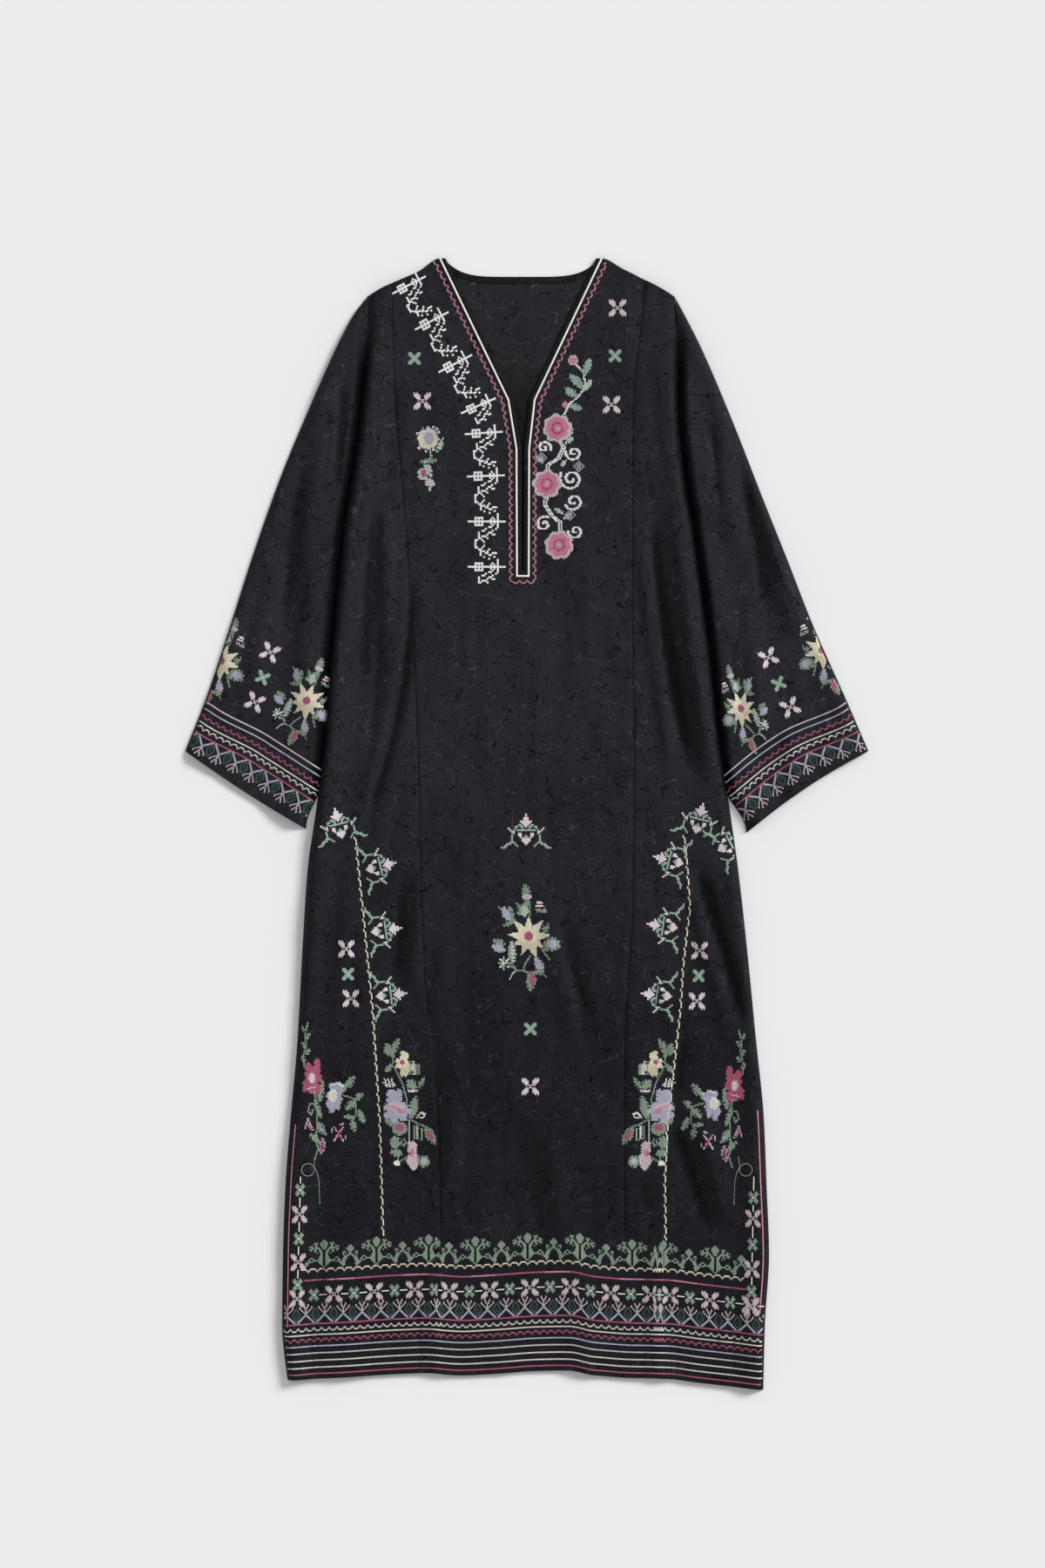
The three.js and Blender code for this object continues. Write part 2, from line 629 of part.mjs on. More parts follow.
const textile = (color, roughness) => new THREE.MeshStandardMaterial({ color, roughness, metalness: 0 });
const clothMaterial = () => textile(0x26262b, 0.82);
const bindingMaterial = () => textile(0x1d1d20, 0.7);
const cordMaterial = () => textile(0xe6e0cb, 0.6);

const kaftan = new THREE.Group();

function addPiece(name, geometry, material) {
  const mesh = new THREE.Mesh(geometry, material);
  mesh.name = name;
  kaftan.add(mesh);
}

addPiece('back_panel', backPanel(), clothMaterial());
addPiece('back_neck_binding', backNeckBinding(), bindingMaterial());
addPiece('front_centre', centreFront(), clothMaterial());
addPiece('front_side_left', sideFront(-1), clothMaterial());
addPiece('front_side_right', sideFront(1), clothMaterial());
addPiece('sleeve_left', sleeve(SLEEVES.left), clothMaterial());
addPiece('sleeve_right', sleeve(SLEEVES.right), clothMaterial());
addPiece('neck_binding', neckBinding(), bindingMaterial());
addPiece('neck_cord', neckCord(), cordMaterial());

export default kaftan;
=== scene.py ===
import bpy
import numpy as np
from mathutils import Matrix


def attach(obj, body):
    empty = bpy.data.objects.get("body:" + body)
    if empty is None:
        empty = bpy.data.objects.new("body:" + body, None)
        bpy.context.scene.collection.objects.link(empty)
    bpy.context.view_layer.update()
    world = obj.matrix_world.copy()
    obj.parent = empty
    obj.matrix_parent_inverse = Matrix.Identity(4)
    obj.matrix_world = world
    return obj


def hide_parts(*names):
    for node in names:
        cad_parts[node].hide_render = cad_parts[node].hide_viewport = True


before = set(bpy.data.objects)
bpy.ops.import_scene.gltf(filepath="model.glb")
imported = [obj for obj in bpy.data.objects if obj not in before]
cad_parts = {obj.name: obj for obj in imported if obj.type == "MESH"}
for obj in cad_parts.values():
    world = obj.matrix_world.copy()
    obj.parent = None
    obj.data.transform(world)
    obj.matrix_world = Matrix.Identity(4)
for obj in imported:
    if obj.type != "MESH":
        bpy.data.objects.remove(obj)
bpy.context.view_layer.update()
MM = 0.001


# The table
# It is a wide board with matt pale paint under a large soft lamp. It isn't part of the kaftan, and
# it shows the soft shadow that the cloth leaves on its lower left side.
def colour(red, green, blue):
    """The shader's linear colour for three steps from 0 to 255, as a screen shows them."""
    steps = np.array([red, green, blue]) / 255
    linear = np.where(steps <= 0.04045, steps / 12.92, ((steps + 0.055) / 1.055) ** 2.4)
    return (*(float(value) for value in linear), 1.0)


def node(tree, kind, inputs=(), output=0, **settings):
    """Add a shader node, set or link its inputs, and return one of its outputs."""
    made = tree.nodes.new("ShaderNode" + kind)
    for key, value in settings.items():
        setattr(made, key, value)
    for key, value in dict(inputs).items():
        if isinstance(value, bpy.types.NodeSocket):
            tree.links.new(value, made.inputs[key])
        else:
            made.inputs[key].default_value = value
    return made.outputs[output]


def maths(tree, operation, *values):
    return node(tree, "Math", enumerate(values), operation=operation)


def blank_material(name):
    """A new material with an empty Principled shader, returned with its node tree and that shader."""
    material = bpy.data.materials.new(name)
    material.use_nodes = True
    return material, material.node_tree, material.node_tree.nodes["Principled BSDF"]


TABLE_SIZE = 9000
TABLE_DROP = 0.3  # the board lies this far under the cloth, so that the two faces never meet
PAINT = colour(236, 236, 236)

board = bpy.data.meshes.new("table")
half = TABLE_SIZE / 2 * MM
corners = [(-half, -half), (half, -half), (half, half), (-half, half)]
board.from_pydata([(x, y, -TABLE_DROP * MM) for x, y in corners], [], [(0, 1, 2, 3)])
paint, tree, shader = blank_material("table_paint")
grain = node(tree, "TexNoise", {"Scale": 900.0, "Detail": 2.0})
bump = node(tree, "Bump", {"Strength": 0.02, "Distance": 0.0002, "Height": grain})
tree.links.new(bump, shader.inputs["Normal"])
shader.inputs["Base Color"].default_value = PAINT
shader.inputs["Roughness"].default_value = 0.9
shader.inputs["Specular IOR Level"].default_value = 0.1
board.materials.append(paint)
table = bpy.data.objects.new("table", board)
bpy.context.collection.objects.link(table)

# The picture is 1260 by 1890 mm at the table, and its middle lies a little above the garment's
PICTURE = {"width": 1260, "height": 1890, "middle_x": -5.25, "middle_y": 48.3}
CAMERA_HEIGHT = 6000

lens = bpy.data.cameras.new("camera")
lens.sensor_fit = "VERTICAL"
lens.sensor_height = 36
lens.lens = lens.sensor_height * CAMERA_HEIGHT / PICTURE["height"]
lens.clip_end = 100
camera = bpy.data.objects.new("camera", lens)
camera.location = (PICTURE["middle_x"] * MM, PICTURE["middle_y"] * MM, CAMERA_HEIGHT * MM)
bpy.context.collection.objects.link(camera)
bpy.context.scene.camera = camera

# One broad, far lamp stands beyond the upper right corner, and the room's walls fill the shadows
LAMP = {"way": (1.0, 0.7, 0.78), "spread": 0.35, "strength": 2.8}
ROOM_LIGHT = 0.525

lamp_data = bpy.data.lights.new("lamp", "SUN")
lamp_data.angle = LAMP["spread"]
lamp_data.energy = LAMP["strength"]
lamp = bpy.data.objects.new("lamp", lamp_data)
lamp.location = tuple(3 * part for part in LAMP["way"])
lamp.rotation_euler = (-lamp.location).to_track_quat("-Z", "Y").to_euler()
bpy.context.collection.objects.link(lamp)

room = bpy.data.worlds.new("room")
room.use_nodes = True
room.node_tree.nodes["Background"].inputs["Color"].default_value = (1.0, 1.0, 1.0, 1.0)
room.node_tree.nodes["Background"].inputs["Strength"].default_value = ROOM_LIGHT
bpy.context.scene.world = room
bpy.context.scene.view_settings.view_transform = "Standard"


# The back
# It is one panel of black cotton voile, cut to the outline of the front and lying flat on the table.
# Its wrong side shows inside the V of the neck, and the front is sewn to it down both sides.
def line_through(rows, column, straight=False):
    """A line through one column of a table, as a function of its first column. It never overshoots."""
    table = np.array(sorted(row[:1] + row[column : column + 1] for row in rows), dtype=float)
    x, y = table[:, 0], table[:, 1]
    if straight:
        return lambda value: np.interp(value, x, y)
    rise = np.diff(y) / np.diff(x)
    before, after = np.r_[rise[0], rise], np.r_[rise, rise[-1]]
    both = np.where(before * after > 0, before + after, 1.0)
    slope = np.where(before * after > 0, 2 * before * after / both, 0.0)

    def value_at(value):
        value = np.clip(value, x[0], x[-1])
        k = np.clip(np.searchsorted(x, value, side="right") - 1, 0, len(x) - 2)
        step = x[k + 1] - x[k]
        t = (value - x[k]) / step
        start = (2 * t**3 - 3 * t**2 + 1) * y[k] + (t**3 - 2 * t**2 + t) * step * slope[k]
        return start + (3 * t**2 - 2 * t**3) * y[k + 1] + (t**3 - t**2) * step * slope[k + 1]

    return value_at


def smooth(low, high, value):
    t = np.clip((value - low) / (high - low), 0, 1)
    return t * t * (3 - 2 * t)


def mix(start, end, share):
    return start + (end - start) * share


def undulation(x, y, size, seed):
    """Soft random heights from -1 to 1, with lumps about as wide as size."""
    lattice = np.random.default_rng(seed).uniform(-1, 1, (97, 97))
    u, v = np.asarray(x) / size + 40, np.asarray(y) / size + 40
    i, j = np.floor(u).astype(int), np.floor(v).astype(int)
    s, t = smooth(0, 1, u - i), smooth(0, 1, v - j)
    low = mix(lattice[i % 97, j % 97], lattice[(i + 1) % 97, j % 97], s)
    high = mix(lattice[i % 97, (j + 1) % 97], lattice[(i + 1) % 97, (j + 1) % 97], s)
    return mix(low, high, t)


# The two sides of the body from shoulder to hem: y, left, right
BODY_SIDES = [
    (636, -193, 178.5),
    (603, -190.5, 180),
    (506, -198, 181),
    (410, -211, 190),
    (362, -219.5, 198.5),
    (290, -227, 209),
    (193, -236, 221),
    (97, -244, 231.5),
    (24, -253, 243.5),
    (-57, -264.5, 255),
    (-141, -270, 264.5),
    (-267, -277, 277),
    (-351, -284.5, 285.5),
    (-435, -291, 289),
    (-519, -294, 292),
    (-603, -295, 287),
    (-682, -287, 285),
]
NECK_POINTS = 681.5
# The shoulder line: x, y
SHOULDER = [
    (-193, 635),
    (-172, 647),
    (-152, 656),
    (-130, 666),
    (-105, NECK_POINTS),
    (90, NECK_POINTS),
    (117, 668),
    (139, 657),
    (159, 647),
    (178.5, 635),
]
# The wavy edge of the hem: x, y
HEM = [
    (-288, -669.5),
    (-219, -666),
    (-150, -662),
    (-119, -661),
    (-79, -664),
    (-38, -662),
    (16, -658.5),
    (52, -658),
    (81, -663.5),
    (124, -667),
    (162, -667.5),
    (209, -673),
    (285, -681.5),
]
HEM_LEVEL = -670
HEM_FADE = 260  # the waves of the hem die out this far up the skirt
SHOULDER_FADE = 169  # the slope of the shoulders dies out this far down
BACK_NECK = {"x": -6.5, "y": 659.5, "half_width": 93, "rise": 21.5, "power": 5}
BACK_BAND = 8.4
BACK_INSET = 3  # the front rolls over the edges of the back and hides them
VOILE = 0.7  # thickness of the cloth
ROW_STEP = 5
COLUMN_STEP = 4.6
BACK_WIDTH = 586  # about the width of the back, by which its columns are spaced
BACK_COLUMN_STEP = 9
BACK_ROW_STEP = 9.65
BACK_FINE = [1.2, 3, 5]

body_left = line_through(BODY_SIDES, 1)
body_right = line_through(BODY_SIDES, 2)
shoulder_y = line_through(SHOULDER, 1)
hem_y = line_through(HEM, 1)


def back_neck_y(x):
    share = np.minimum(np.abs(x - BACK_NECK["x"]) / BACK_NECK["half_width"], 1)
    return BACK_NECK["y"] + BACK_NECK["rise"] * share ** BACK_NECK["power"]


def body_row(level, x, top):
    """Where a row of the weave runs: it bends with the hem below and with a given top line above."""
    hem_wave = (hem_y(x) - HEM_LEVEL) * (1 - smooth(HEM_LEVEL, HEM_LEVEL + HEM_FADE, level))
    return level + hem_wave + (top - NECK_POINTS) * smooth(NECK_POINTS - SHOULDER_FADE, NECK_POINTS, level)


def spread(width, step, fine):
    """Shares from 0 to 1 across a width: fine gaps at both ends, in mm, and even steps between."""
    inset = np.cumsum([0, *fine])
    count = max(int(round((width - 2 * inset[-1]) / step)), 1)
    middle = np.linspace(inset[-1], width - inset[-1], count + 1)[1:-1]
    return np.concatenate([inset, middle, width - inset[::-1]]) / width


def new_piece(name, points, faces, materials, hollow=None):
    """A smooth mesh from points in mm, which rides on the garment's only body. The last argument gives
    each place's painted shade, from 0 to 1, deepest in a fold or a seam, which darkens the cloth's colour."""
    mesh = bpy.data.meshes.new(name)
    mesh.from_pydata((np.asarray(points) * MM).tolist(), [], faces)
    # Painted shade: each place's darkening is stored on the mesh, and the cloth's colour takes it.
    if hollow:
        depth = hollow(points[:, 0], points[:, 1])
        mesh.attributes.new("hollow", "FLOAT", "POINT").data.foreach_set("value", depth.astype(np.float32))
    mesh.update()
    mesh.polygons.foreach_set("use_smooth", [True] * len(mesh.polygons))
    for material in materials:
        mesh.materials.append(material)
    piece = bpy.data.objects.new(name, mesh)
    bpy.context.collection.objects.link(piece)
    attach(piece, "root")
    return piece


def cloth_panel(name, upper, material, open_cell=None, hollow=None):
    """A panel of cloth from its upper face, an array of rows by columns by three. open_cell says which
    cells of the grid hold no cloth."""
    rows, columns = upper.shape[0] - 1, upper.shape[1] - 1
    lower = upper - np.array([0, 0, VOILE])
    count = upper.shape[0] * upper.shape[1]
    points = np.concatenate([upper.reshape(-1, 3), lower.reshape(-1, 3)])
    filled = np.ones((rows + 2, columns + 2), bool)
    filled[[0, -1]] = False
    filled[:, [0, -1]] = False
    if open_cell is not None:
        filled[1:-1, 1:-1] &= ~open_cell
    faces = []
    for j, i in zip(*np.nonzero(filled[1:-1, 1:-1])):
        a = j * (columns + 1) + i
        b, c, d = a + 1, a + columns + 2, a + columns + 1
        faces.append((a, b, c, d))
        faces.append((d + count, c + count, b + count, a + count))
        if not filled[j, i + 1]:
            faces.append((a + count, b + count, b, a))
        if not filled[j + 1, i + 2]:
            faces.append((b + count, c + count, c, b))
        if not filled[j + 2, i + 1]:
            faces.append((c + count, d + count, d, c))
        if not filled[j + 1, i]:
            faces.append((d + count, a + count, a, d))
    used = np.unique(np.concatenate([np.array(face) for face in faces]))
    place = np.full(len(points), -1)
    place[used] = np.arange(len(used))
    faces = [tuple(int(place[k]) for k in face) for face in faces]
    panel = new_piece(name, points[used], faces, [material], hollow)
    panel.data.set_sharp_from_angle(angle=0.9)
    return panel


def woven_group():
    """Plain weave with slubs, and the short tone-on-tone threads that wander all over this cloth.
    It is painted paler towards the shoulders, where the light catches it, and painted darker in its
    hollows and fine creases, where shade falls."""
    group = bpy.data.node_groups.new("voile_weave", "ShaderNodeTree")
    for name, kind, value in [("Colour", "NodeSocketColor", None), ("Pitch", "NodeSocketFloat", 0.5)]:
        socket = group.interface.new_socket(name, in_out="INPUT", socket_type=kind)
        if value is not None:
            socket.default_value = value
    group.interface.new_socket("Colour", in_out="OUTPUT", socket_type="NodeSocketColor")
    for name in ("Height", "Rough"):
        group.interface.new_socket(name, in_out="OUTPUT", socket_type="NodeSocketFloat")
    given = group.nodes.new("NodeGroupInput").outputs
    result = group.nodes.new("NodeGroupOutput").inputs
    place = node(group, "TexCoord", output=3)
    split = group.nodes.new("ShaderNodeSeparateXYZ")
    group.links.new(place, split.inputs[0])

    turns = maths(group, "DIVIDE", 2 * np.pi / MM, given["Pitch"])
    warp = maths(group, "SINE", maths(group, "MULTIPLY", split.outputs[0], turns))
    weft = maths(group, "SINE", maths(group, "MULTIPLY", split.outputs[1], turns))
    weave = maths(group, "MULTIPLY", warp, weft)

    def threads(scale, seed, width, gate):
        """Hair-fine lines along the edges of bent cells, broken into short lengths by a noise."""
        shift = node(group, "Mapping", {0: place, 1: (seed, -seed, 0.0)})
        bend = node(group, "TexNoise", {"Vector": shift, "Scale": 60.0, "Detail": 1.0}, output=1)
        bend = node(group, "VectorMath", {0: bend, 1: (0.5, 0.5, 0.5)}, operation="SUBTRACT")
        bend = node(group, "VectorMath", {0: bend, 1: (0.032, 0.032, 0.0)}, operation="MULTIPLY")
        bent = node(group, "VectorMath", {0: shift, 1: bend}, operation="ADD")
        cells = {"Vector": bent, "Scale": scale}
        edge = node(group, "TexVoronoi", cells, feature="DISTANCE_TO_EDGE", voronoi_dimensions="2D")
        line = node(group, "MapRange", {0: edge, 1: 0.4 * width, 2: width, 3: 1.0, 4: 0.0}, clamp=True)
        breaks = node(group, "TexNoise", {"Vector": shift, "Scale": scale * 1.9, "Detail": 1.0})
        held = node(group, "MapRange", {0: breaks, 1: gate, 2: gate + 0.05}, clamp=True)
        return maths(group, "MULTIPLY", line, held)

    dark = threads(44.0, 3.7, 0.034, 0.49)
    ticks = threads(95.0, 8.1, 0.055, 0.6)
    pale = threads(38.0, 5.3, 0.028, 0.51)
    # Painted shade: fine dark lines, as if shade lay in small creases.
    painted_crease_shade = maths(group, "MULTIPLY", threads(21.0, 2.2, 0.024, 0.53), 0.7)
    cloudy = node(group, "TexNoise", {"Vector": place, "Scale": 7.0, "Detail": 5.0, "Roughness": 0.65})
    slubs = node(group, "Mapping", {0: place, 3: (1400.0, 60.0, 1.0)})
    slub = node(group, "TexNoise", {"Vector": slubs, "Scale": 1.0, "Detail": 2.0})

    tone = node(group, "MapRange", {0: cloudy, 1: 0.3, 2: 0.7, 3: 0.84, 4: 1.18})
    slubbed = node(group, "MapRange", {0: slub, 1: 0.3, 2: 0.7, 3: 0.88, 4: 1.12})
    tone = maths(group, "MULTIPLY", tone, slubbed)
    marks = maths(group, "MAXIMUM", dark, ticks)
    # The dark marks are the cloth's own threads; the crease lines are painted shade.
    marks_and_painted_crease_shade = maths(group, "MULTIPLY", maths(group, "MAXIMUM", marks, painted_crease_shade), 0.7)
    tone = maths(group, "MULTIPLY", tone, maths(group, "SUBTRACT", 1.0, marks_and_painted_crease_shade))
    tone = maths(group, "ADD", tone, maths(group, "MULTIPLY", pale, 1.2))
    # Painted light: paler towards the shoulders and darker towards the hem, as the light falls on it.
    painted_top_light = node(group, "MapRange", {0: split.outputs[1], 1: -0.3, 2: 0.12, 3: 0.8, 4: 1.15}, clamp=True)
    tone = maths(group, "MULTIPLY", tone, painted_top_light)
    # Painted shade from the mesh darkens the colour in folds, seams and under rolled edges.
    painted_shade_factor = maths(group, "SUBTRACT", 1.0, node(group, "Attribute", output=2, attribute_name="hollow"))
    tone = maths(group, "MULTIPLY", tone, painted_shade_factor)
    toned = node(group, "VectorMath", {0: given["Colour"], 1: tone}, operation="MULTIPLY")
    group.links.new(toned, result["Colour"])
    raised = maths(group, "ADD", maths(group, "MULTIPLY", marks, 1.2), pale)
    relief = maths(group, "ADD", maths(group, "MULTIPLY", weave, 0.3), maths(group, "MULTIPLY", slub, 0.5))
    crinkle = node(group, "TexNoise", {"Vector": place, "Scale": 110.0, "Detail": 3.0, "Roughness": 0.55})
    relief = maths(group, "ADD", relief, maths(group, "MULTIPLY", crinkle, 9.0))
    group.links.new(maths(group, "ADD", relief, raised), result["Height"])
    group.links.new(node(group, "MapRange", {0: tone, 1: 0.4, 2: 1.6, 3: 0.95, 4: 0.72}), result["Rough"])
    return group


WEAVE = woven_group()


def cloth_material(name, base, pitch, relief):
    material, tree, shader = blank_material(name)
    weave = tree.nodes.new("ShaderNodeGroup")
    weave.node_tree = WEAVE
    weave.inputs["Colour"].default_value = base
    weave.inputs["Pitch"].default_value = pitch
    tree.links.new(weave.outputs["Colour"], shader.inputs["Base Color"])
    tree.links.new(weave.outputs["Rough"], shader.inputs["Roughness"])
    bump = node(tree, "Bump", {"Strength": 0.6, "Distance": relief * MM, "Height": weave.outputs["Height"]})
    tree.links.new(bump, shader.inputs["Normal"])
    shader.inputs["Specular IOR Level"].default_value = 0.05
    shader.inputs["Sheen Weight"].default_value = 0.05
    shader.inputs["Sheen Roughness"].default_value = 0.45
    return material


voile = cloth_material("black_voile", colour(33, 33, 38), 0.5, 0.12)
voile_inside = cloth_material("black_voile_inside", colour(36, 36, 40), 0.5, 0.1)


def back_panel():
    """The back's upper face. Its rows bend up to the shoulders and down into the back neck."""
    shares = spread(BACK_WIDTH, BACK_COLUMN_STEP, BACK_FINE)
    levels = np.arange(HEM_LEVEL, NECK_POINTS + 0.1, BACK_ROW_STEP)
    share, level = np.meshgrid(shares, levels)
    y = level.copy()
    for _ in range(4):
        x = mix(body_left(y) + BACK_INSET, body_right(y) - BACK_INSET, share)
        inside = np.abs(x - BACK_NECK["x"]) < BACK_NECK["half_width"]
        top = np.where(inside, np.minimum(back_neck_y(x) - BACK_BAND, NECK_POINTS), shoulder_y(x))
        y = body_row(level, x, top)
    lift = 0.5 * (1 + undulation(x, y, 46, 11)) * smooth(0, 40, y - 300)
    return np.stack([x, y, 0.9 + lift * 0.6], axis=-1)


def back_painted_shade(x, y):
    """Painted shade: the back is darkest where it lies deep in the slit and at the foot of the V."""
    return 0.75 * (1 - smooth(430, 610, y))


back = cloth_panel("back_cloth", back_panel(), voile_inside, hollow=back_painted_shade)
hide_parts("back_panel")


# The front
# It is three panels of the same voile, a centre and two sides, joined by long princess seams that run
# from the shoulders to the hem. It lies on the back in soft folds, and rolls over at its side seams.
# The princess seams: y, left, right
FRONT_SEAMS = [
    (680, -164, 146),
    (600, -162, 137),
    (510, -159, 128),
    (400, -150, 127),
    (276, -141, 126.5),
    (97, -132, 129),
    (-97, -127, 127),
    (-193, -123, 121),
    (-265, -113, 118),
    (-385, -106, 117),
    (-682, -102, 121),
]
SLIT_FOOT = 298.6
SLIT_X = -5
# The seam of the neck binding: y, left, right
NECK_SEAM = [
    (NECK_POINTS, -105, 90.3),
    (511, -22.6, 9.4),
    (452, -12.8, 2.8),
    (SLIT_FOOT, SLIT_X - 7.2, SLIT_X + 7.2),
]
FRONT_LEVEL = 3.1  # the upper face of the front where it lies lowest
SWELL = 3.0
NECK_REST = 0.5
NECK_HOLD = 14
NECK_FREE = 44
EDGE_RADIUS = 5.5  # the front turns down over this width at its side seams
SIDE_ROLLS = (8.5, 6.5)  # left and right
ROLL_CREST = 9
ROLL_FOOT = 42
EDGE_LEVEL = 0.9
TUCKED_LEVEL = 3.6  # where the edge lies on a sleeve
SEAM_DIP = 1.4
# The folds: x0, y0, x1, y1, how far it bows aside, half its width, its rise. A trough's rise is below 0.
BODY_FOLDS = [
    (-182, 405, -200, 153, 0, 13, -3.8),
    (-167, 390, -172, 170, 2, 15, 4.8),
    (-137, 330, -205, -30, 19, 12, -5.1),
    (-153, 310, -220, -40, 17, 16, 4.5),
    (-146, -50, -156, -200, 0, 13, -4.5),
    (-126, -40, -138, -215, 0, 15, 5.4),
    (-210, -45, -233, -250, 0, 18, 4.2),
    (-90, -235, -94, -490, 3, 20, 4.8),
    (40, -110, 82, -270, 2, 15, -3.2),
    (20, -95, 62, -285, 2, 18, 4.2),
    (-14, -340, 36, -560, 0, 20, -2.6),
    (14, -330, 64, -560, 0, 20, 3.4),
    (64, 140, 118, 10, 0, 15, -1.8),
    (150, 400, 205, 35, -6, 13, -6.7),
    (173, 420, 226, 30, -3, 16, 5.8),
    (136, 380, 182, 40, -6, 14, 4.5),
    (200, -35, 270, -262, 3, 14, -6.7),
    (184, -45, 250, -275, 3, 16, 6.1),
    (191, -245, 183, -335, 0, 13, -4.2),
    (174, -345, 228, -505, 0, 15, -5.8),
    (198, -325, 252, -500, 0, 17, 6.4),
    (138, -410, 160, -535, 0, 13, -3.8),
    (153, -440, 163, -740, 0, 20, 4.6),
    (-111, -500, -102, -740, 0, 24, 3.0),
    (72, -500, 64, -740, 0, 32, 4.2),
    (-216, -500, -220, -740, 0, 42, 3.5),
]
# The creases, which are finer than the folds: x0, y0, x1, y1, bow, half its width, rise
BODY_CREASES = [
    (-138, 470, -150, 300, 3, 6, -1.7),
    (-178, 250, -196, 60, 4, 6, -2.0),
    (-150, 60, -176, -60, 5, 6, -1.8),
    (-160, -10, -168, -90, 0, 5, -1.5),
    (-112, -160, -126, -262, 0, 5, -1.8),
    (-118, -205, -104, -330, 2, 5, -1.5),
    (-134, -262, -128, -420, -2, 6, -1.4),
    (-80, -462, -60, -488, 0, 5, -2.0),
    (-206, -120, -222, -330, 3, 7, -1.5),
    (-246, -60, -262, -240, 0, 7, 2.0),
    (-252, 40, -246, 250, 0, 6, -1.4),
    (46, 290, 74, 160, 3, 6, -1.4),
    (88, 226, 112, 150, 0, 6, -2.1),
    (90, 110, 120, 10, 0, 7, -1.0),
    (100, 300, 122, 205, 0, 5, -1.5),
    (140, 190, 118, 60, 0, 6, -1.7),
    (160, 250, 180, 110, 0, 6, -2.1),
    (206, -60, 236, -150, 0, 6, -2.4),
    (186, -262, 222, -336, 0, 6, -2.2),
    (150, -150, 170, -300, 0, 6, -1.7),
    (52, -160, 76, -222, 0, 5, -2.1),
    (-20, -250, -34, -420, 2, 7, -1.2),
    (-52, 40, -60, -120, 0, 8, 1.4),
    (-70, 250, -84, 90, 0, 8, 1.4),
    (20, 60, 34, -90, 0, 8, -1.2),
    (96, -380, 104, -560, 0, 6, -1.8),
    (-232, -420, -240, -600, 0, 9, 1.7),
    (236, -520, 240, -660, 0, 9, 1.8),
]

seam_left = line_through(FRONT_SEAMS, 1)
seam_right = line_through(FRONT_SEAMS, 2)
neck_left = line_through(NECK_SEAM, 1, straight=True)
neck_right = line_through(NECK_SEAM, 2, straight=True)


def folds_at(folds, x, y, taper=0.25):
    """The height that a table of folds adds at each place."""
    height = np.zeros(np.shape(x))
    for x0, y0, x1, y1, bow, half_width, rise in folds:
        length = np.hypot(x1 - x0, y1 - y0)
        ux, uy = (x1 - x0) / length, (y1 - y0) / length
        t = ((x - x0) * ux + (y - y0) * uy) / length
        aside = (y - y0) * ux - (x - x0) * uy
        distance = np.abs(aside - bow * 4 * t * (1 - t)) / half_width
        profile = np.where(distance < 1, np.cos(np.pi / 2 * np.minimum(distance, 1)) ** 2, 0)
        height += rise * profile * smooth(0, taper, t) * smooth(0, taper, 1 - t)
    return height


def rounded(distance, radius):
    """A quarter round from 0 at an edge to 1 at a radius in from it."""
    return np.sqrt(np.maximum(1 - (1 - np.clip(distance / radius, 0, 1)) ** 2, 0))


def roll_at(height, distance):
    return height * smooth(0, ROLL_CREST, distance) * (1 - smooth(ROLL_CREST, ROLL_FOOT, distance))


def front_height(x, y):
    """The upper face of the front over the table."""
    x, y = np.asarray(x, float), np.asarray(y, float)
    from_side = np.minimum(x - body_left(y), body_right(y) - x)
    outside = np.where(x < SLIT_X, neck_left(y) - x, x - neck_right(y))
    from_neck = np.where(y > SLIT_FOOT, outside, np.hypot(np.maximum(outside, 0), SLIT_FOOT - y))
    away = smooth(NECK_HOLD, NECK_FREE, from_neck)
    lumps = 1.0 * undulation(x, y * 0.6, 34, 21) + 0.55 * undulation(x, y * 0.8, 13, 22)
    flare = 450 * x / (body_right(y) - body_left(y))
    drags = 1.6 * undulation(flare, y * 0.22, 21, 26) + 0.9 * undulation(flare, y * 0.15, 12, 27)
    lumps += drags * smooth(-560, -460, y)
    free = SWELL + folds_at(BODY_FOLDS, x, y) + folds_at(BODY_CREASES, x, y) + lumps
    lift = mix(NECK_REST + 0.12 * undulation(x, y, 9, 23), np.maximum(free, 0.1), away)
    roll = np.where(x < 0, *SIDE_ROLLS)
    lift += roll_at(roll, from_side) * away * mix(0.3, 1, smooth(640, 520, y))
    for seam in (seam_left, seam_right):
        off = np.abs(x - seam(y))
        pucker = 0.8 * undulation(off * 0.7, y, 8, 24) + 0.7 * undulation(x, y, 16, 25)
        pucker = pucker * mix(0.3, 1, smooth(-540, -470, y))
        dip = SEAM_DIP * mix(0.15, 1, smooth(-520, -470, y))  # the bands of the hem are worked over it
        lift += pucker * np.exp(-((off / 11) ** 2)) - dip * np.exp(-((off / 1.5) ** 2))
    full = FRONT_LEVEL + np.maximum(lift, 0)
    return mix(mix(EDGE_LEVEL, TUCKED_LEVEL, smooth(-20, 60, y)), full, rounded(from_side, EDGE_RADIUS))


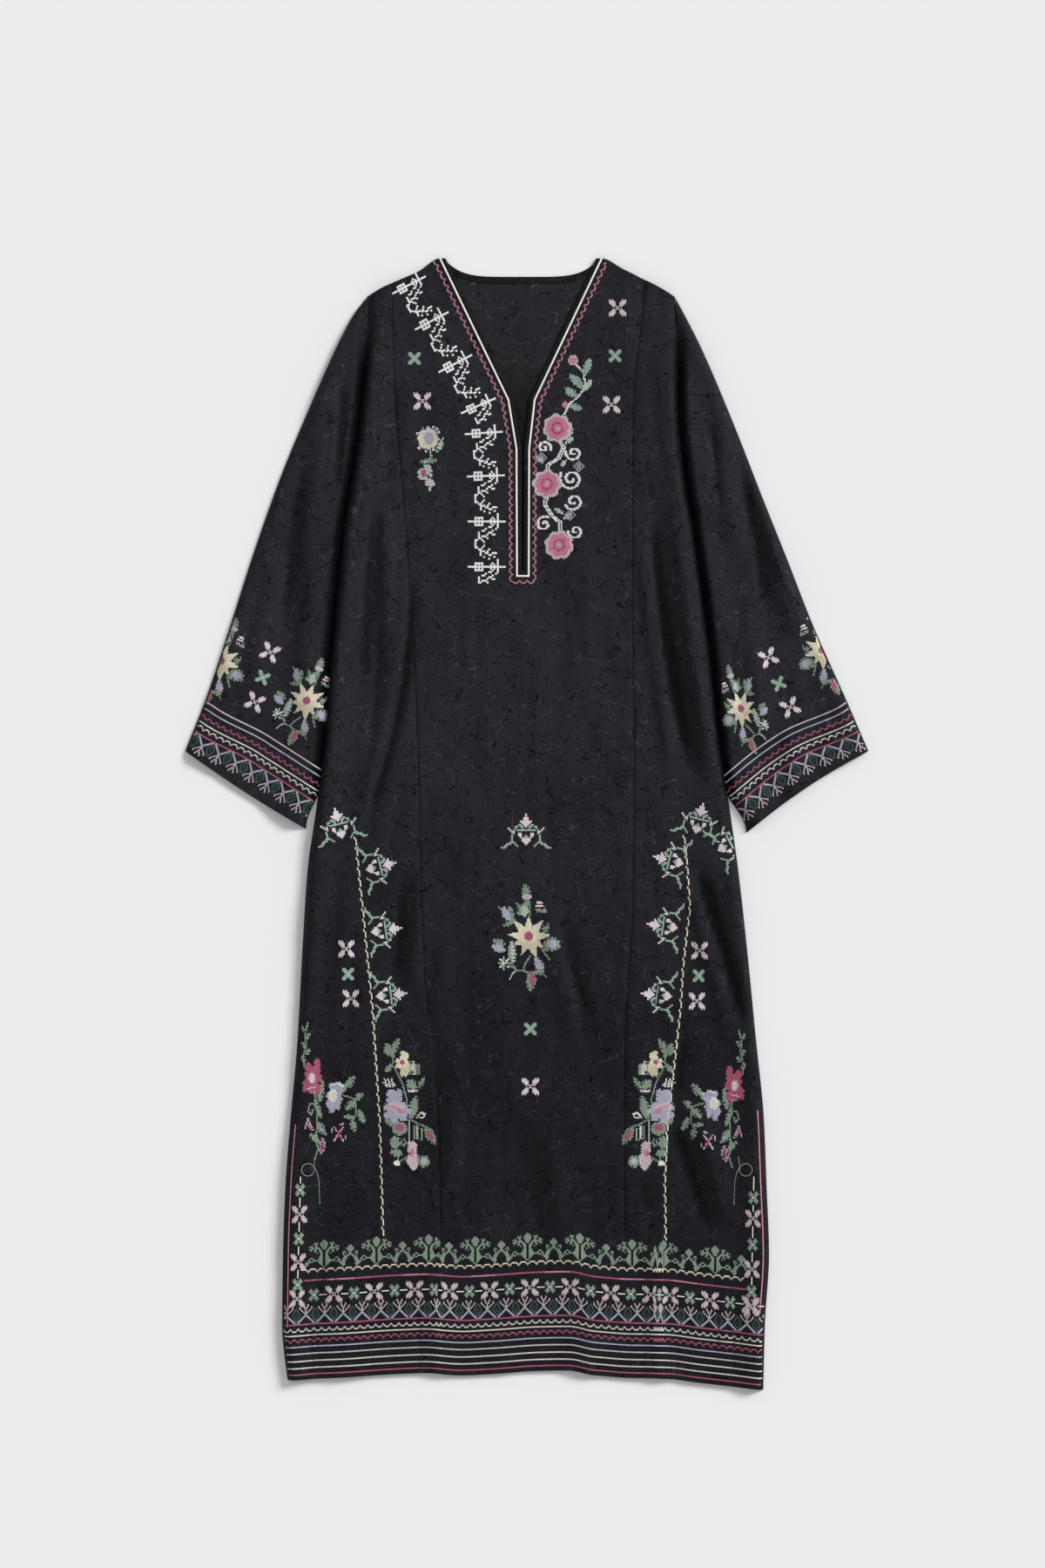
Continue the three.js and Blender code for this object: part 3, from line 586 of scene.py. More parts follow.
def front_painted_shade(x, y):
    """Painted shade on the front: how far its colour is darkened deep in a trough, in a seam or under
    the rolled edge beside a sleeve.
    """
    from_side = np.minimum(x - body_left(y), body_right(y) - x)
    trough = -np.minimum(folds_at(BODY_FOLDS, x, y) + folds_at(BODY_CREASES, x, y), 0)
    hollow = 0.7 * smooth(0.5, 6, trough)
    for seam in (seam_left, seam_right):
        near = np.exp(-(((x - seam(y)) / 1.7) ** 2)) * mix(0.2, 1, smooth(-520, -470, y))
        near = near * (0.7 + 0.5 * undulation(x * 0.3, y, 11, 28))
        hollow = np.maximum(hollow, 0.2 * near)
    beside = (1 - smooth(1, 6, from_side)) * smooth(-20, 60, y) * (1 - smooth(540, 620, y))
    return np.maximum(hollow, 0.85 * beside)


def front_levels():
    skirt = np.linspace(HEM_LEVEL, SLIT_FOOT, int((SLIT_FOOT - HEM_LEVEL) / ROW_STEP) + 1)
    chest = np.linspace(SLIT_FOOT, NECK_POINTS, int((NECK_POINTS - SLIT_FOOT) / ROW_STEP) + 1)
    return np.concatenate([skirt, chest[1:]])


def front_panel(from_line, to_line, shares):
    """The upper face of a front panel between two lines."""
    share, level = np.meshgrid(shares, front_levels())
    y = level.copy()
    for _ in range(4):
        x = mix(from_line(y), to_line(y), share)
        y = body_row(level, x, shoulder_y(x))
    return np.stack([x, y, front_height(x, y)], axis=-1)


SEAM_FINE = [0.8, 1.4, 2.6]
EDGE_FINE = [0.25, 0.6, 1.1, 1.8, 2.6]
PANEL_WIDTH = 125  # about the width of a side and of each half of the centre
left_half = front_panel(seam_left, neck_left, spread(PANEL_WIDTH, COLUMN_STEP, SEAM_FINE))
right_half = front_panel(neck_right, seam_right, spread(PANEL_WIDTH, COLUMN_STEP, SEAM_FINE))
between = front_panel(neck_left, neck_right, np.linspace(0, 1, 5)[1:-1])
centre = np.concatenate([left_half, between, right_half], axis=1)
slit = np.zeros((centre.shape[0] - 1, centre.shape[1] - 1), bool)
slit_row = int(np.argmin(np.abs(front_levels() - SLIT_FOOT)))
slit[slit_row:, left_half.shape[1] - 1 : left_half.shape[1] + between.shape[1]] = True
front_centre = cloth_panel("front_centre_cloth", centre, voile, slit, front_painted_shade)
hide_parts("front_centre")


def side_shares():
    """Shares from the side seam to the princess seam, finest where the cloth turns down."""
    edge, seam = np.cumsum([0, *EDGE_FINE]), np.cumsum([0, *SEAM_FINE])
    count = int((PANEL_WIDTH - edge[-1] - seam[-1]) / COLUMN_STEP)
    middle = np.linspace(edge[-1], PANEL_WIDTH - seam[-1], count + 1)
    return np.concatenate([edge[:-1], middle, PANEL_WIDTH - seam[-2::-1]]) / PANEL_WIDTH


side_panel = front_panel(body_left, seam_left, side_shares())
side_left = cloth_panel("side_left_cloth", side_panel, voile, hollow=front_painted_shade)
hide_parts("front_side_left")
side_panel = front_panel(seam_right, body_right, 1 - side_shares()[::-1])
side_right = cloth_panel("side_right_cloth", side_panel, voile, hollow=front_painted_shade)
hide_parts("front_side_right")


# The sleeves
# Each is one flared piece of voile, folded along its outer edge, seamed under the arm and set into the
# armhole. It lies pressed flat beside the body, and both its layers show at the cuff.
SPAN = 823.2
CUFF_CORNER = 88
ARMPIT = 362
SHOULDER_TIP = 636
TUCK = 2.5  # how far the inner edge of a sleeve lies under the body
# The folded outer edge: y, left, right
SLEEVE_EDGES = [
    (635, -194.5, 180),
    (615, -210, 191),
    (573, -232, 212),
    (489, -268, 247),
    (405, -301.5, 279.5),
    (321, -331, 313),
    (237, -358, 346),
    (153, -386, 383.5),
    (CUFF_CORNER, -SPAN / 2, SPAN / 2),
]
# The cuff's inner corner and how far its edge waves: x, y, wave
CUFFS = {-1: (-266, -6, -2.6), 1: (264.6, -10.5, 5)}
CUFF_RATE = 1.77
CUFF_PARTING = 55
CUFF_REACH = 0.4
ARMHOLE_REACH = 0.4
SLEEVE_ROLL = 6.0
FOLD_RISE = 3.0  # the cloth stands up a little beside the folded outer edge
SLEEVE_WIDTH = 170  # about the width of a sleeve, by which its columns are spaced
SLEEVE_FINE = [0.5, 0.9, 1.5, 2.4]
SLEEVE_RINGS = 112
UNDER_COLUMNS = 14
# The folded edges seen from above and below: the level that they turn down to, and over what width
UPPER_TURN = (1.6, 4.5)
UNDER_TURN = (1.5, 3.2)
# The folds and creases, with the same columns as the body's
SLEEVE_FOLDS = [
    (-243, 560, -267, 330, 3, 24, 5.4),
    (-219, 545, -229, 385, 0, 12, -4.2),
    (-273, 420, -290, 220, 0, 15, -3.8),
    (-300, 350, -334, 150, 0, 24, 4.5),
    (-251, 330, -275, 100, 0, 21, 4.5),
    (231, 520, 254, 300, 0, 20, 6.1),
    (258, 440, 291, 240, 5, 14, -5.8),
    (287, 430, 329, 195, 0, 20, 5.4),
    (266, 280, 290, 70, 0, 20, 4.8),
    (313, 150, 330, 0, 0, 24, 5.1),
    (-262, 300, -300, 190, 4, 7, -1.9),
    (-316, 300, -346, 190, 0, 7, -1.6),
    (-236, 470, -250, 390, 0, 6, -1.8),
    (-282, 120, -306, 50, 0, 8, -1.4),
    (-352, 200, -372, 110, 0, 8, 1.6),
    (222, 480, 232, 380, 0, 6, -1.9),
    (276, 400, 300, 320, 0, 6, -1.8),
    (304, 300, 330, 230, 0, 6, -1.6),
    (240, 240, 262, 120, 0, 7, -2.1),
    (280, 90, 296, 30, 0, 7, -1.6),
    (348, 180, 366, 90, 0, 8, 1.6),
]


def sleeve_shape(side):
    """The outer and inner edges of a sleeve, and its plan and height as functions."""
    column = 1 if side < 0 else 2
    edge_x = line_through(SLEEVE_EDGES, column)
    body_edge = body_left if side < 0 else body_right
    heel_x, heel_y, cuff_wave = CUFFS[side]

    def inner_x(y):
        beside = body_edge(y) - side * TUCK
        return mix(heel_x, beside, smooth(heel_y, heel_y + CUFF_PARTING, y))

    def ends(w):
        outer_y = mix(CUFF_CORNER, SHOULDER_TIP - 2, w)
        inner_y = mix(heel_y, ARMPIT, CUFF_RATE * w - (CUFF_RATE - 1) * w * w)
        return edge_x(outer_y), outer_y, inner_x(inner_y), inner_y

    across = np.array([heel_x - side * SPAN / 2, heel_y - CUFF_CORNER])
    across /= np.hypot(*across)

    def plan(w, s):
        outer_x, outer_y, near_x, near_y = ends(w)
        x, y = mix(outer_x, near_x, s), mix(outer_y, near_y, s)
        wave = cuff_wave * np.sin(np.pi * s) * (1 - smooth(0, CUFF_REACH, w))
        x, y = x + side * across[1] * wave, y - side * across[0] * wave
        top_x, top_y, low_x, low_y = ends(1.0)
        chord_x, chord_y = mix(top_x, low_x, s), mix(top_y, low_y, s)
        bow = body_edge(chord_y) + side * 0.3 - chord_x
        return x + bow * smooth(1 - ARMHOLE_REACH, 1, w), y

    def height(x, y):
        from_fold = np.abs(edge_x(y) - x) * 0.92
        from_body = np.where(y > ARMPIT, np.abs(x - body_edge(y)), np.abs(x - inner_x(y)))
        lumps = 1.1 * undulation(x, y * 0.7, 30, 31) + 0.5 * undulation(x, y, 12, 32)
        lumps += 1.3 * undulation(x + side * 0.35 * y, y * 0.3, 20, 33) * smooth(60, 150, y)
        free = np.maximum(SWELL + folds_at(SLEEVE_FOLDS, x, y) + lumps, 0.1)
        lift = free * smooth(0, 13, from_fold) * smooth(-2, 16, from_body)
        lift += roll_at(SLEEVE_ROLL, from_body * 0.6) * mix(0.2, 1, smooth(620, 540, y))
        lift += FOLD_RISE * smooth(0, 5, from_fold) * (1 - smooth(5, 28, from_fold))
        drop = 1.2 * (1 - smooth(0, 14, from_body)) * smooth(600, 540, y)
        return FRONT_LEVEL + lift - drop

    def inside(x, y):
        """Where a stitch can lie: clear of the fold and of the seam."""
        return (side * (edge_x(y) - x) > 2.4) & (side * (x - inner_x(y)) > 1.5)

    # Painted shade on a sleeve: darker in its troughs and in the valley under the body's rolled edge, where
    # shade falls.
    def hollow(x, y):
        beside = np.abs(x - body_edge(y))
        trough = -np.minimum(folds_at(SLEEVE_FOLDS, x, y), 0)
        under = (1 - smooth(6, 15, beside)) * smooth(-15, 60, y) * (1 - smooth(545, 615, y))
        return np.maximum(0.6 * smooth(0.5, 6, trough), 0.93 * under)

    return plan, height, inside, hollow


sleeve_shapes = {side: sleeve_shape(side) for side in (-1, 1)}


def sleeve_cloth(side, name):
    """A flattened tube: rings of the upper layer, a rounded fold and the lower layer."""
    plan, height, _, hollow = sleeve_shapes[side]
    over = spread(SLEEVE_WIDTH, COLUMN_STEP, SLEEVE_FINE)
    under = np.linspace(0, 1, UNDER_COLUMNS)
    rings = {"outer": [], "inner": []}
    for wall, inset in (("outer", 0.0), ("inner", VOILE)):
        for w in np.linspace(0, 1, SLEEVE_RINGS):
            share = mix(inset / SLEEVE_WIDTH, 1 - inset / SLEEVE_WIDTH, over)
            x, y = plan(w, share)
            edge = np.minimum(share, 1 - share) * SLEEVE_WIDTH
            top = mix(UPPER_TURN[0], height(x, y), rounded(edge, UPPER_TURN[1])) - inset
            below_x, below_y = plan(w, under[::-1])
            below_edge = np.minimum(under, 1 - under) * SLEEVE_WIDTH
            low = mix(UNDER_TURN[0], 0.0, rounded(below_edge, UNDER_TURN[1])) + inset
            upper_layer = np.stack([x, y, top], -1)
            lower_layer = np.stack([below_x, below_y, low[::-1]], -1)
            rings[wall].append(np.concatenate([upper_layer, lower_layer[1:-1]]))
    outer, inner = np.array(rings["outer"]), np.array(rings["inner"])
    stations, count = outer.shape[:2]
    points = np.concatenate([outer.reshape(-1, 3), inner.reshape(-1, 3)])
    far = stations * count
    faces = []
    for i in range(count):
        n = (i + 1) % count
        for k in range(stations - 1):
            a, b = k * count + i, k * count + n
            faces.append((a, b, b + count, a + count))
            faces.append((far + a, far + a + count, far + b + count, far + b))
        faces.append((i, far + i, far + n, n))
        last = (stations - 1) * count
        faces.append((last + i, last + n, far + last + n, far + last + i))
    if side > 0:
        faces = [face[::-1] for face in faces]
    sleeve = new_piece(name, points, faces, [voile], hollow)
    sleeve.data.set_sharp_from_angle(angle=1.2)
    return sleeve


sleeve_left = sleeve_cloth(-1, "sleeve_left_cloth")
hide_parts("sleeve_left")
sleeve_right = sleeve_cloth(1, "sleeve_right_cloth")
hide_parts("sleeve_right")


# The neck binding
# It is a bias strip of black satin folded over the raw edge of the V and both sides of the slit, and a
# second, wider strip finishes the back neck. Both are sewn down along one edge.
BINDING = 5.8
satin = cloth_material("black_satin", colour(24, 24, 27), 0.35, 0.06)


def neck_line(step):
    """The neck seam from the left neck point down the slit and up to the right one, as x and y."""
    corners = sorted((row[0] for row in NECK_SEAM), reverse=True)
    levels = [np.linspace(a, b, max(int((a - b) / step), 1) + 1)[:-1] for a, b in zip(corners, corners[1:])]
    y = np.concatenate([*levels, [SLIT_FOOT]])
    foot = np.linspace(neck_left(SLIT_FOOT), neck_right(SLIT_FOOT), 5)[1:-1]
    x = np.concatenate([neck_left(y), foot, neck_right(y[::-1])])
    return np.stack([x, np.concatenate([y, np.full(3, SLIT_FOOT), y[::-1]])], axis=-1)


def moved(line, distance):
    """A line moved to the left of the way it goes, with mitred corners and ends cut level."""
    way = np.diff(line, axis=0)
    way /= np.hypot(way[:, 0], way[:, 1])[:, None]
    into, out = np.vstack([way[:1], way]), np.vstack([way, way[-1:]])
    normal = np.stack([-(into + out)[:, 1], (into + out)[:, 0]], -1)
    normal /= np.hypot(normal[:, 0], normal[:, 1])[:, None]
    mitre = distance / (normal[:, 0] * -into[:, 1] + normal[:, 1] * into[:, 0])
    result = line + normal * mitre[:, None]
    for end in (0, -1):
        result[end] = (line[end, 0] - distance / out[end, 1], line[end, 1])
    return result


def closed_strip(name, lanes, material, sharp, turned=False):
    """A closed strip between lanes that run side by side round its section. It is turned where they run
    round it the other way."""
    points = np.stack(lanes, axis=1)
    stations, count = points.shape[:2]
    faces = [tuple(range(count))[::-1], tuple(range((stations - 1) * count, stations * count))]
    for k in range(stations - 1):
        for i in range(count):
            a, b = k * count + i, k * count + (i + 1) % count
            faces.append((a, b, b + count, a + count))
    if turned:
        faces = [face[:1] + face[:0:-1] for face in faces]
    strip = new_piece(name, points.reshape(-1, 3), faces, [material])
    strip.data.set_sharp_from_angle(angle=sharp)
    return strip


def swept_strip(name, line, profile, material, sharp=1.0):
    """A closed strip along a line. The profile is pairs of an offset from the line and a height."""
    lanes = []
    for offset, height in profile:
        lanes.append(np.column_stack([moved(line, offset), np.full(len(line), height)]))
    return closed_strip(name, lanes, material, sharp)


seam = neck_line(4.0)
NECK_LEVEL = FRONT_LEVEL + NECK_REST
binding_profile = [
    (0.2, NECK_LEVEL - 1.1),
    (BINDING, NECK_LEVEL - 1.2),
    (BINDING + 0.5, NECK_LEVEL - 0.5),
    (BINDING + 0.1, NECK_LEVEL + 0.25),
    (BINDING - 1.2, NECK_LEVEL + 0.5),
    (1.6, NECK_LEVEL + 0.42),
    (0.2, NECK_LEVEL + 0.05),
]
binding = swept_strip("neck_binding_strip", seam, binding_profile, satin)
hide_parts("neck_binding")

BAND_STATIONS = 60
# The section of the band: how far below its upper edge, and how high
band_profile = [
    (0.0, 0.1),
    (0.0, 1.2),
    (1.0, 1.7),
    (BACK_BAND - 0.8, 1.75),
    (BACK_BAND + 0.6, 1.3),
    (BACK_BAND + 0.6, 0.1),
]
crowded_ends = np.cos(np.pi * np.linspace(0, 1, BAND_STATIONS))
neck_x = BACK_NECK["x"] - (BACK_NECK["half_width"] - 1) * crowded_ends
band_lanes = []
for drop, height in band_profile:
    band_lanes.append(np.column_stack([neck_x, back_neck_y(neck_x) - drop, np.full(BAND_STATIONS, height)]))
back_band = closed_strip("back_neck_band", band_lanes, satin, sharp=0.9, turned=True)
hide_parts("back_neck_binding")


# The neck cord
# It is a cream cotton cord, couched by hand over the seam of the binding all round the V and the slit.
def twist_group():
    """Twisted cotton: fine slanting plies, and small differences of tone along the thread."""
    group = bpy.data.node_groups.new("thread_twist", "ShaderNodeTree")
    group.interface.new_socket("Colour", in_out="INPUT", socket_type="NodeSocketColor")
    group.interface.new_socket("Colour", in_out="OUTPUT", socket_type="NodeSocketColor")
    group.interface.new_socket("Height", in_out="OUTPUT", socket_type="NodeSocketFloat")
    given = group.nodes.new("NodeGroupInput").outputs
    result = group.nodes.new("NodeGroupOutput").inputs
    place = node(group, "TexCoord", output=3)
    plies = node(group, "Mapping", {0: place, 2: (0.0, 0.0, 0.6), 3: (1 / MM, 1 / MM, 1 / MM)})
    wave = node(group, "TexWave", {"Vector": plies, "Scale": 0.9, "Distortion": 1.5, "Detail": 1.0})
    uneven = node(group, "TexNoise", {"Vector": place, "Scale": 420.0, "Detail": 2.0})
    tone = node(group, "MapRange", {0: uneven, 1: 0.3, 2: 0.7, 3: 0.86, 4: 1.12})
    tinted = node(group, "VectorMath", {0: given["Colour"], 1: tone}, operation="MULTIPLY")
    group.links.new(tinted, result["Colour"])
    group.links.new(wave, result["Height"])
    return group


TWIST = twist_group()


def thread_material(name, base):
    material, tree, shader = blank_material(name)
    twist = tree.nodes.new("ShaderNodeGroup")
    twist.node_tree = TWIST
    twist.inputs["Colour"].default_value = base
    tree.links.new(twist.outputs["Colour"], shader.inputs["Base Color"])
    bump = node(tree, "Bump", {"Strength": 0.5, "Distance": 0.12 * MM, "Height": twist.outputs["Height"]})
    tree.links.new(bump, shader.inputs["Normal"])
    shader.inputs["Roughness"].default_value = 0.6
    shader.inputs["Specular IOR Level"].default_value = 0.25
    shader.inputs["Sheen Weight"].default_value = 0.1
    return material


cream = thread_material("cream_cord", colour(240, 236, 222))
CORD_WIDTH = 2.3
CORD_INSET = 0.15  # its middle lies this far inside the seam
CORD_MIDDLE = 0.75
CORD_HALF_HEIGHT = 0.85
CORD_SIDES = 8
cord_base = NECK_LEVEL + 0.3
cord_profile = []
for turn in np.linspace(0, 2 * np.pi, CORD_SIDES + 1)[:-1]:
    aside = CORD_INSET - CORD_WIDTH / 2 * np.cos(turn)
    cord_profile.append((aside, cord_base + CORD_MIDDLE - CORD_HALF_HEIGHT * np.sin(turn)))
cord = swept_strip("neck_cord_strand", seam, cord_profile, cream, sharp=3.0)
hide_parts("neck_cord")


# The needlework
# It is counted cross stitch in stranded cotton, worked by hand over a count of about two millimetres,
# with ruled lines of slanting stem stitch. Each motif is a small chart, or is drawn on a finer count from
# ovals, leaves and stems.
CELL = 2.1
THREADS = {
    "R": thread_material("rose_thread", colour(182, 92, 121)),
    "Q": thread_material("pink_thread", colour(216, 138, 165)),
    "P": thread_material("pale_pink_thread", colour(213, 197, 202)),
    "B": thread_material("blush_thread", colour(232, 219, 225)),
    "G": thread_material("sage_thread", colour(142, 162, 143)),
    "D": thread_material("bottle_green_thread", colour(66, 98, 82)),
    "S": thread_material("soft_green_thread", colour(156, 182, 166)),
    "M": thread_material("mint_thread", colour(190, 206, 194)),
    "L": thread_material("lilac_thread", colour(185, 183, 202)),
    "I": thread_material("ivory_thread", colour(226, 221, 212)),
    "Y": thread_material("straw_thread", colour(234, 228, 204)),
    "K": thread_material("dull_straw_thread", colour(216, 208, 182)),
    "W": thread_material("white_thread", colour(246, 246, 244)),
}
# Shares of the count: the width of a thread, half a leg of a cross, and what is too close to work twice
STRAND = 0.42
HALF_LEG = 0.69
CROWDED = 0.6
LEGS = ((np.pi / 4, 0.4), (3 * np.pi / 4, 0.6))  # the turn and the crest of a cross's two legs
STROKE_CREST = 0.45
STROKE_WIDTH = 0.88 * STRAND * CELL
STITCH_LEAN = 1.6  # how far a stem stitch of a ruled line goes along it


def uncrowded(stitches):
    """The stitches without those that would lie on an earlier one, as where a tuck takes up the cloth."""
    taken, kept = set(), []
    for stitch in stitches:
        x, y, _, count, _ = stitch
        place = (count, round(x / CROWDED / count), round(y / CROWDED / count))
        if place not in taken:
            taken.add(place)
            kept.append(stitch)
    return kept


def needlework(name, surface, inside, stitches, strokes=()):
    """One piece of embroidery on a surface. A cross stitch is x, y, its turn, its count and its
    thread, and a stroke is the two ends of a straight stitch and its thread."""
    legs = [(*stroke[:4], STROKE_CREST, STROKE_WIDTH, stroke[4]) for stroke in strokes]
    for turn, crest in LEGS:
        for x, y, way, count, key in uncrowded(stitches):
            dx, dy = HALF_LEG * count * np.cos(way + turn), HALF_LEG * count * np.sin(way + turn)
            legs.append((x - dx, y - dy, x + dx, y + dy, crest, STRAND * count, key))
    ends = np.array([leg[:6] for leg in legs], float)
    keys = np.array([leg[6] for leg in legs])
    fits = inside((ends[:, 0] + ends[:, 2]) / 2, (ends[:, 1] + ends[:, 3]) / 2)
    ends, keys = ends[fits], keys[fits]

    way = ends[:, 2:4] - ends[:, :2]
    aside = np.stack([-way[:, 1], way[:, 0]], -1) / np.hypot(way[:, 0], way[:, 1])[:, None]
    stations = np.array([0.0, 0.5, 1.0])[None, :, None, None]
    lanes = np.array([-0.5, 0.0, 0.5])[None, None, :, None] * ends[:, 5][:, None, None, None]
    plan = ends[:, None, None, :2] + way[:, None, None] * stations + aside[:, None, None] * lanes
    crest = ends[:, 4][:, None, None]
    rise = np.array([[-0.15, 0.1, -0.15], [0.0, 1.0, 0.0], [-0.15, 0.1, -0.15]])[None] * crest
    rise = rise + np.array([[0.0, 0.12, 0.0], [0.1, 0.1, 0.1], [0.0, 0.12, 0.0]])[None]
    x, y = (ends[:, 0] + ends[:, 2]) / 2, (ends[:, 1] + ends[:, 3]) / 2
    level = surface(x, y)
    spans = [(surface(x + dx, y + dy) + surface(x - dx, y - dy)) / 2 for dx, dy in ((2.4, 0), (0, 2.6))]
    bridge = np.maximum.reduce([level, *spans]) - level  # the cloth's mesh lies above a hollow's floor
    height = surface(plan[..., 0], plan[..., 1]) + rise + bridge[:, None, None]
    points = np.concatenate([plan, height[..., None]], axis=-1).reshape(-1, 3)
    corner = np.array([0, 1, 3, 4])[:, None] + np.array([0, 3, 4, 1])  # four faces on three by three points
    faces = (np.arange(len(ends))[:, None, None] * 9 + corner[None]).reshape(-1, 4)
    used = sorted(set(keys))
    piece = new_piece(name, points, faces.tolist(), [THREADS[key] for key in used])
    slots = np.repeat([used.index(key) for key in keys], 4)
    piece.data.polygons.foreach_set("material_index", slots.astype(np.int32))
    return piece


def chart(rows, origin=None):
    """The cells of a chart, drawn from its top row down. Its origin is a column and a row of it, or else
    its middle."""
    column, line = origin or (len(rows[0]) // 2, len(rows) // 2)
    cells = {}
    for j, row in enumerate(rows):
        for i, key in enumerate(row):
            if key != ".":
                cells[i - column, line - j] = key
    return cells


def folded_chart(rows):
    """A chart from its right half, whose first column is the middle."""
    width = max(len(row) for row in rows)
    full = [row.ljust(width, ".") for row in rows]
    return chart([row[:0:-1] + row for row in full])


FINE_COUNT = 1.5  # the flowers are on a finer count than the bands, and drawn in cells of the coarse one
FINER = CELL / FINE_COUNT


def oval(motif, key, x, y, across, down, turn=0, petals=0, depth=0.3):
    """A round or oval flower. With petals its rim is notched between them, down to a share of its depth."""
    x, y, across, down = (value * FINER for value in (x, y, across, down))
    cos, sin, reach = np.cos(np.radians(turn)), np.sin(np.radians(turn)), int(max(across, down))
    for i in range(round(x) - reach, round(x) + reach + 1):
        for j in range(round(y) - reach, round(y) + reach + 1):
            u = ((i - x) * cos + (j - y) * sin) * 2 / across
            v = ((j - y) * cos - (i - x) * sin) * 2 / down
            notch = depth * (1 - abs(np.cos(petals / 2 * np.arctan2(v, u)))) if petals else 0
            if np.hypot(u, v) <= 1 - notch:
                motif[i, j] = key


def leaf(motif, key, x0, y0, x1, y1, width):
    """A pointed leaf with a toothed edge, between two tips."""
    x0, y0, x1, y1, width = (value * FINER for value in (x0, y0, x1, y1, width * 0.85))
    length = np.hypot(x1 - x0, y1 - y0)
    for i in range(int(min(x0, x1) - width), int(max(x0, x1) + width) + 1):
        for j in range(int(min(y0, y1) - width), int(max(y0, y1) + width) + 1):
            t = ((i - x0) * (x1 - x0) + (j - y0) * (y1 - y0)) / length**2
            aside = abs((j - y0) * (x1 - x0) - (i - x0) * (y1 - y0)) / length
            tooth = 1.0 if round(t * length) % 3 == 0 else 0.0
            if 0 <= t <= 1 and aside <= width / 2 * np.sin(np.pi * t) ** 0.8 + 0.3 - tooth:
                motif[i, j] = key


def stem(motif, key, *points):
    for (x0, y0), (x1, y1) in zip(points, points[1:]):
        for t in np.linspace(0, 1, int(2 * FINER * max(abs(x1 - x0), abs(y1 - y0))) + 2):
            motif[round(FINER * mix(x0, x1, t)), round(FINER * mix(y0, y1, t))] = key


def ragged(motif, seed, share=0.3):
    """A motif with some stitches of its straight edges left out, as petals and leaves are notched."""
    chance = np.random.default_rng(seed)
    kept = dict(motif)
    for i, j in sorted(motif):
        beside = [cell in motif for cell in ((i + 1, j), (i - 1, j), (i, j + 1), (i, j - 1))]
        if sum(beside) == 3 and chance.random() < share:
            del kept[i, j]
    return kept


def flat(x, y, turn=0, squeeze=1.0):
    """A straight count set down at a place: from distances along and up it to x, y and its turn."""
    way = np.radians(turn)
    cos, sin = np.cos(way), np.sin(way)
    return lambda u, v: (x + u * squeeze * cos - v * sin, y + u * squeeze * sin + v * cos, way)


def line_at(points):
    """A count that follows a line, with its length: from a distance along it and a height to its left."""
    points = np.asarray(points, float)
    steps = np.diff(points, axis=0)
    lengths = np.hypot(steps[:, 0], steps[:, 1])
    gone = np.concatenate([[0], np.cumsum(lengths)])

    def at(u, v):
        k = int(np.clip(np.searchsorted(gone, u, side="right") - 1, 0, len(steps) - 1))
        way = steps[k] / lengths[k]
        x, y = points[k] + way * (u - gone[k])
        return x - way[1] * v, y + way[0] * v, np.arctan2(way[1], way[0])

    return at, gone[-1]


def lay(motif, at, u=0.0, v=0.0, mirror=False, squeeze=1.0, count=CELL):
    """The stitches of a motif whose middle is at u and v of a count."""
    step = -squeeze * count if mirror else squeeze * count
    return [(*at(u + i * step, v + j * count), count, key) for (i, j), key in motif.items()]


def band(rows, at, start, end, base, count, down=False):
    """The stitches of a chart repeated along a count. Its lowest row is at the height base."""
    step = -count if down else count
    stitches = []
    for column in range(int((end - start) / count)):
        for row, line in enumerate(rows[::-1]):
            key = line[column % len(line)]
            if key != ".":
                stitches.append((*at(start + column * count, base + row * step), count, key))
    return stitches


def ruled(at, start, end, height, key, width=1.5, step=1.3):
    """The strokes of a line of slanting stem stitch."""
    strokes = []
    for u in np.arange(start, end, step):
        x0, y0, _ = at(u, height - width / 2)
        x1, y1, _ = at(u + STITCH_LEAN, height + width / 2)
        strokes.append((x0, y0, x1, y1, key))
    return strokes


PINK_CROSS = folded_chart(
    [
        "....P.P",
        "...PPPP",
        "..PPPPP",
        "..PPPP.",
        "..PPP..",
        ".P.P...",
        "P......",
        ".P.P...",
        "..PPP..",
        "..PPPP.",
        "..PPPPP",
        "...PPPP",
        "....P.P",
    ]
)
PETAL_COUNT = 1.58  # the pink crosses are on a finer count
GREEN_CROSS = chart(["SS...SS", "SSS.SSS", ".SSSSS.", "..SMS..", ".SSSSS.", "SSS.SSS", "SS...SS"])
GREEN_FLOWER = chart([".G...G.", "GGG.GGG", ".GG.GG.", "..GWG..", ".GG.GG.", "GGG.GGG", ".G...G."])
FLEUR = folded_chart(
    [
        "B",
        "B",
        "BB",
        "BB",
        "BBBB",
        "BBB",
        "BB.SS",
        "B.SS.SS",
        "..S...S...B",
        "SSSSSS.S.B",
        ".......BB",
        "...BB..S",
        "S..BB...S",
        "SS.B....S",
        "BBB.....S",
        "BBB.....S",
        "BB.....SSS",
        "B.....S..SSS",
        ".....S.....SS",
        "............SSS",
    ]
)


def lay_cross(pink, at):
    if not pink:
        return lay(GREEN_CROSS, at)
    return lay(dict.fromkeys(PINK_CROSS, "B"), at, count=PETAL_COUNT)


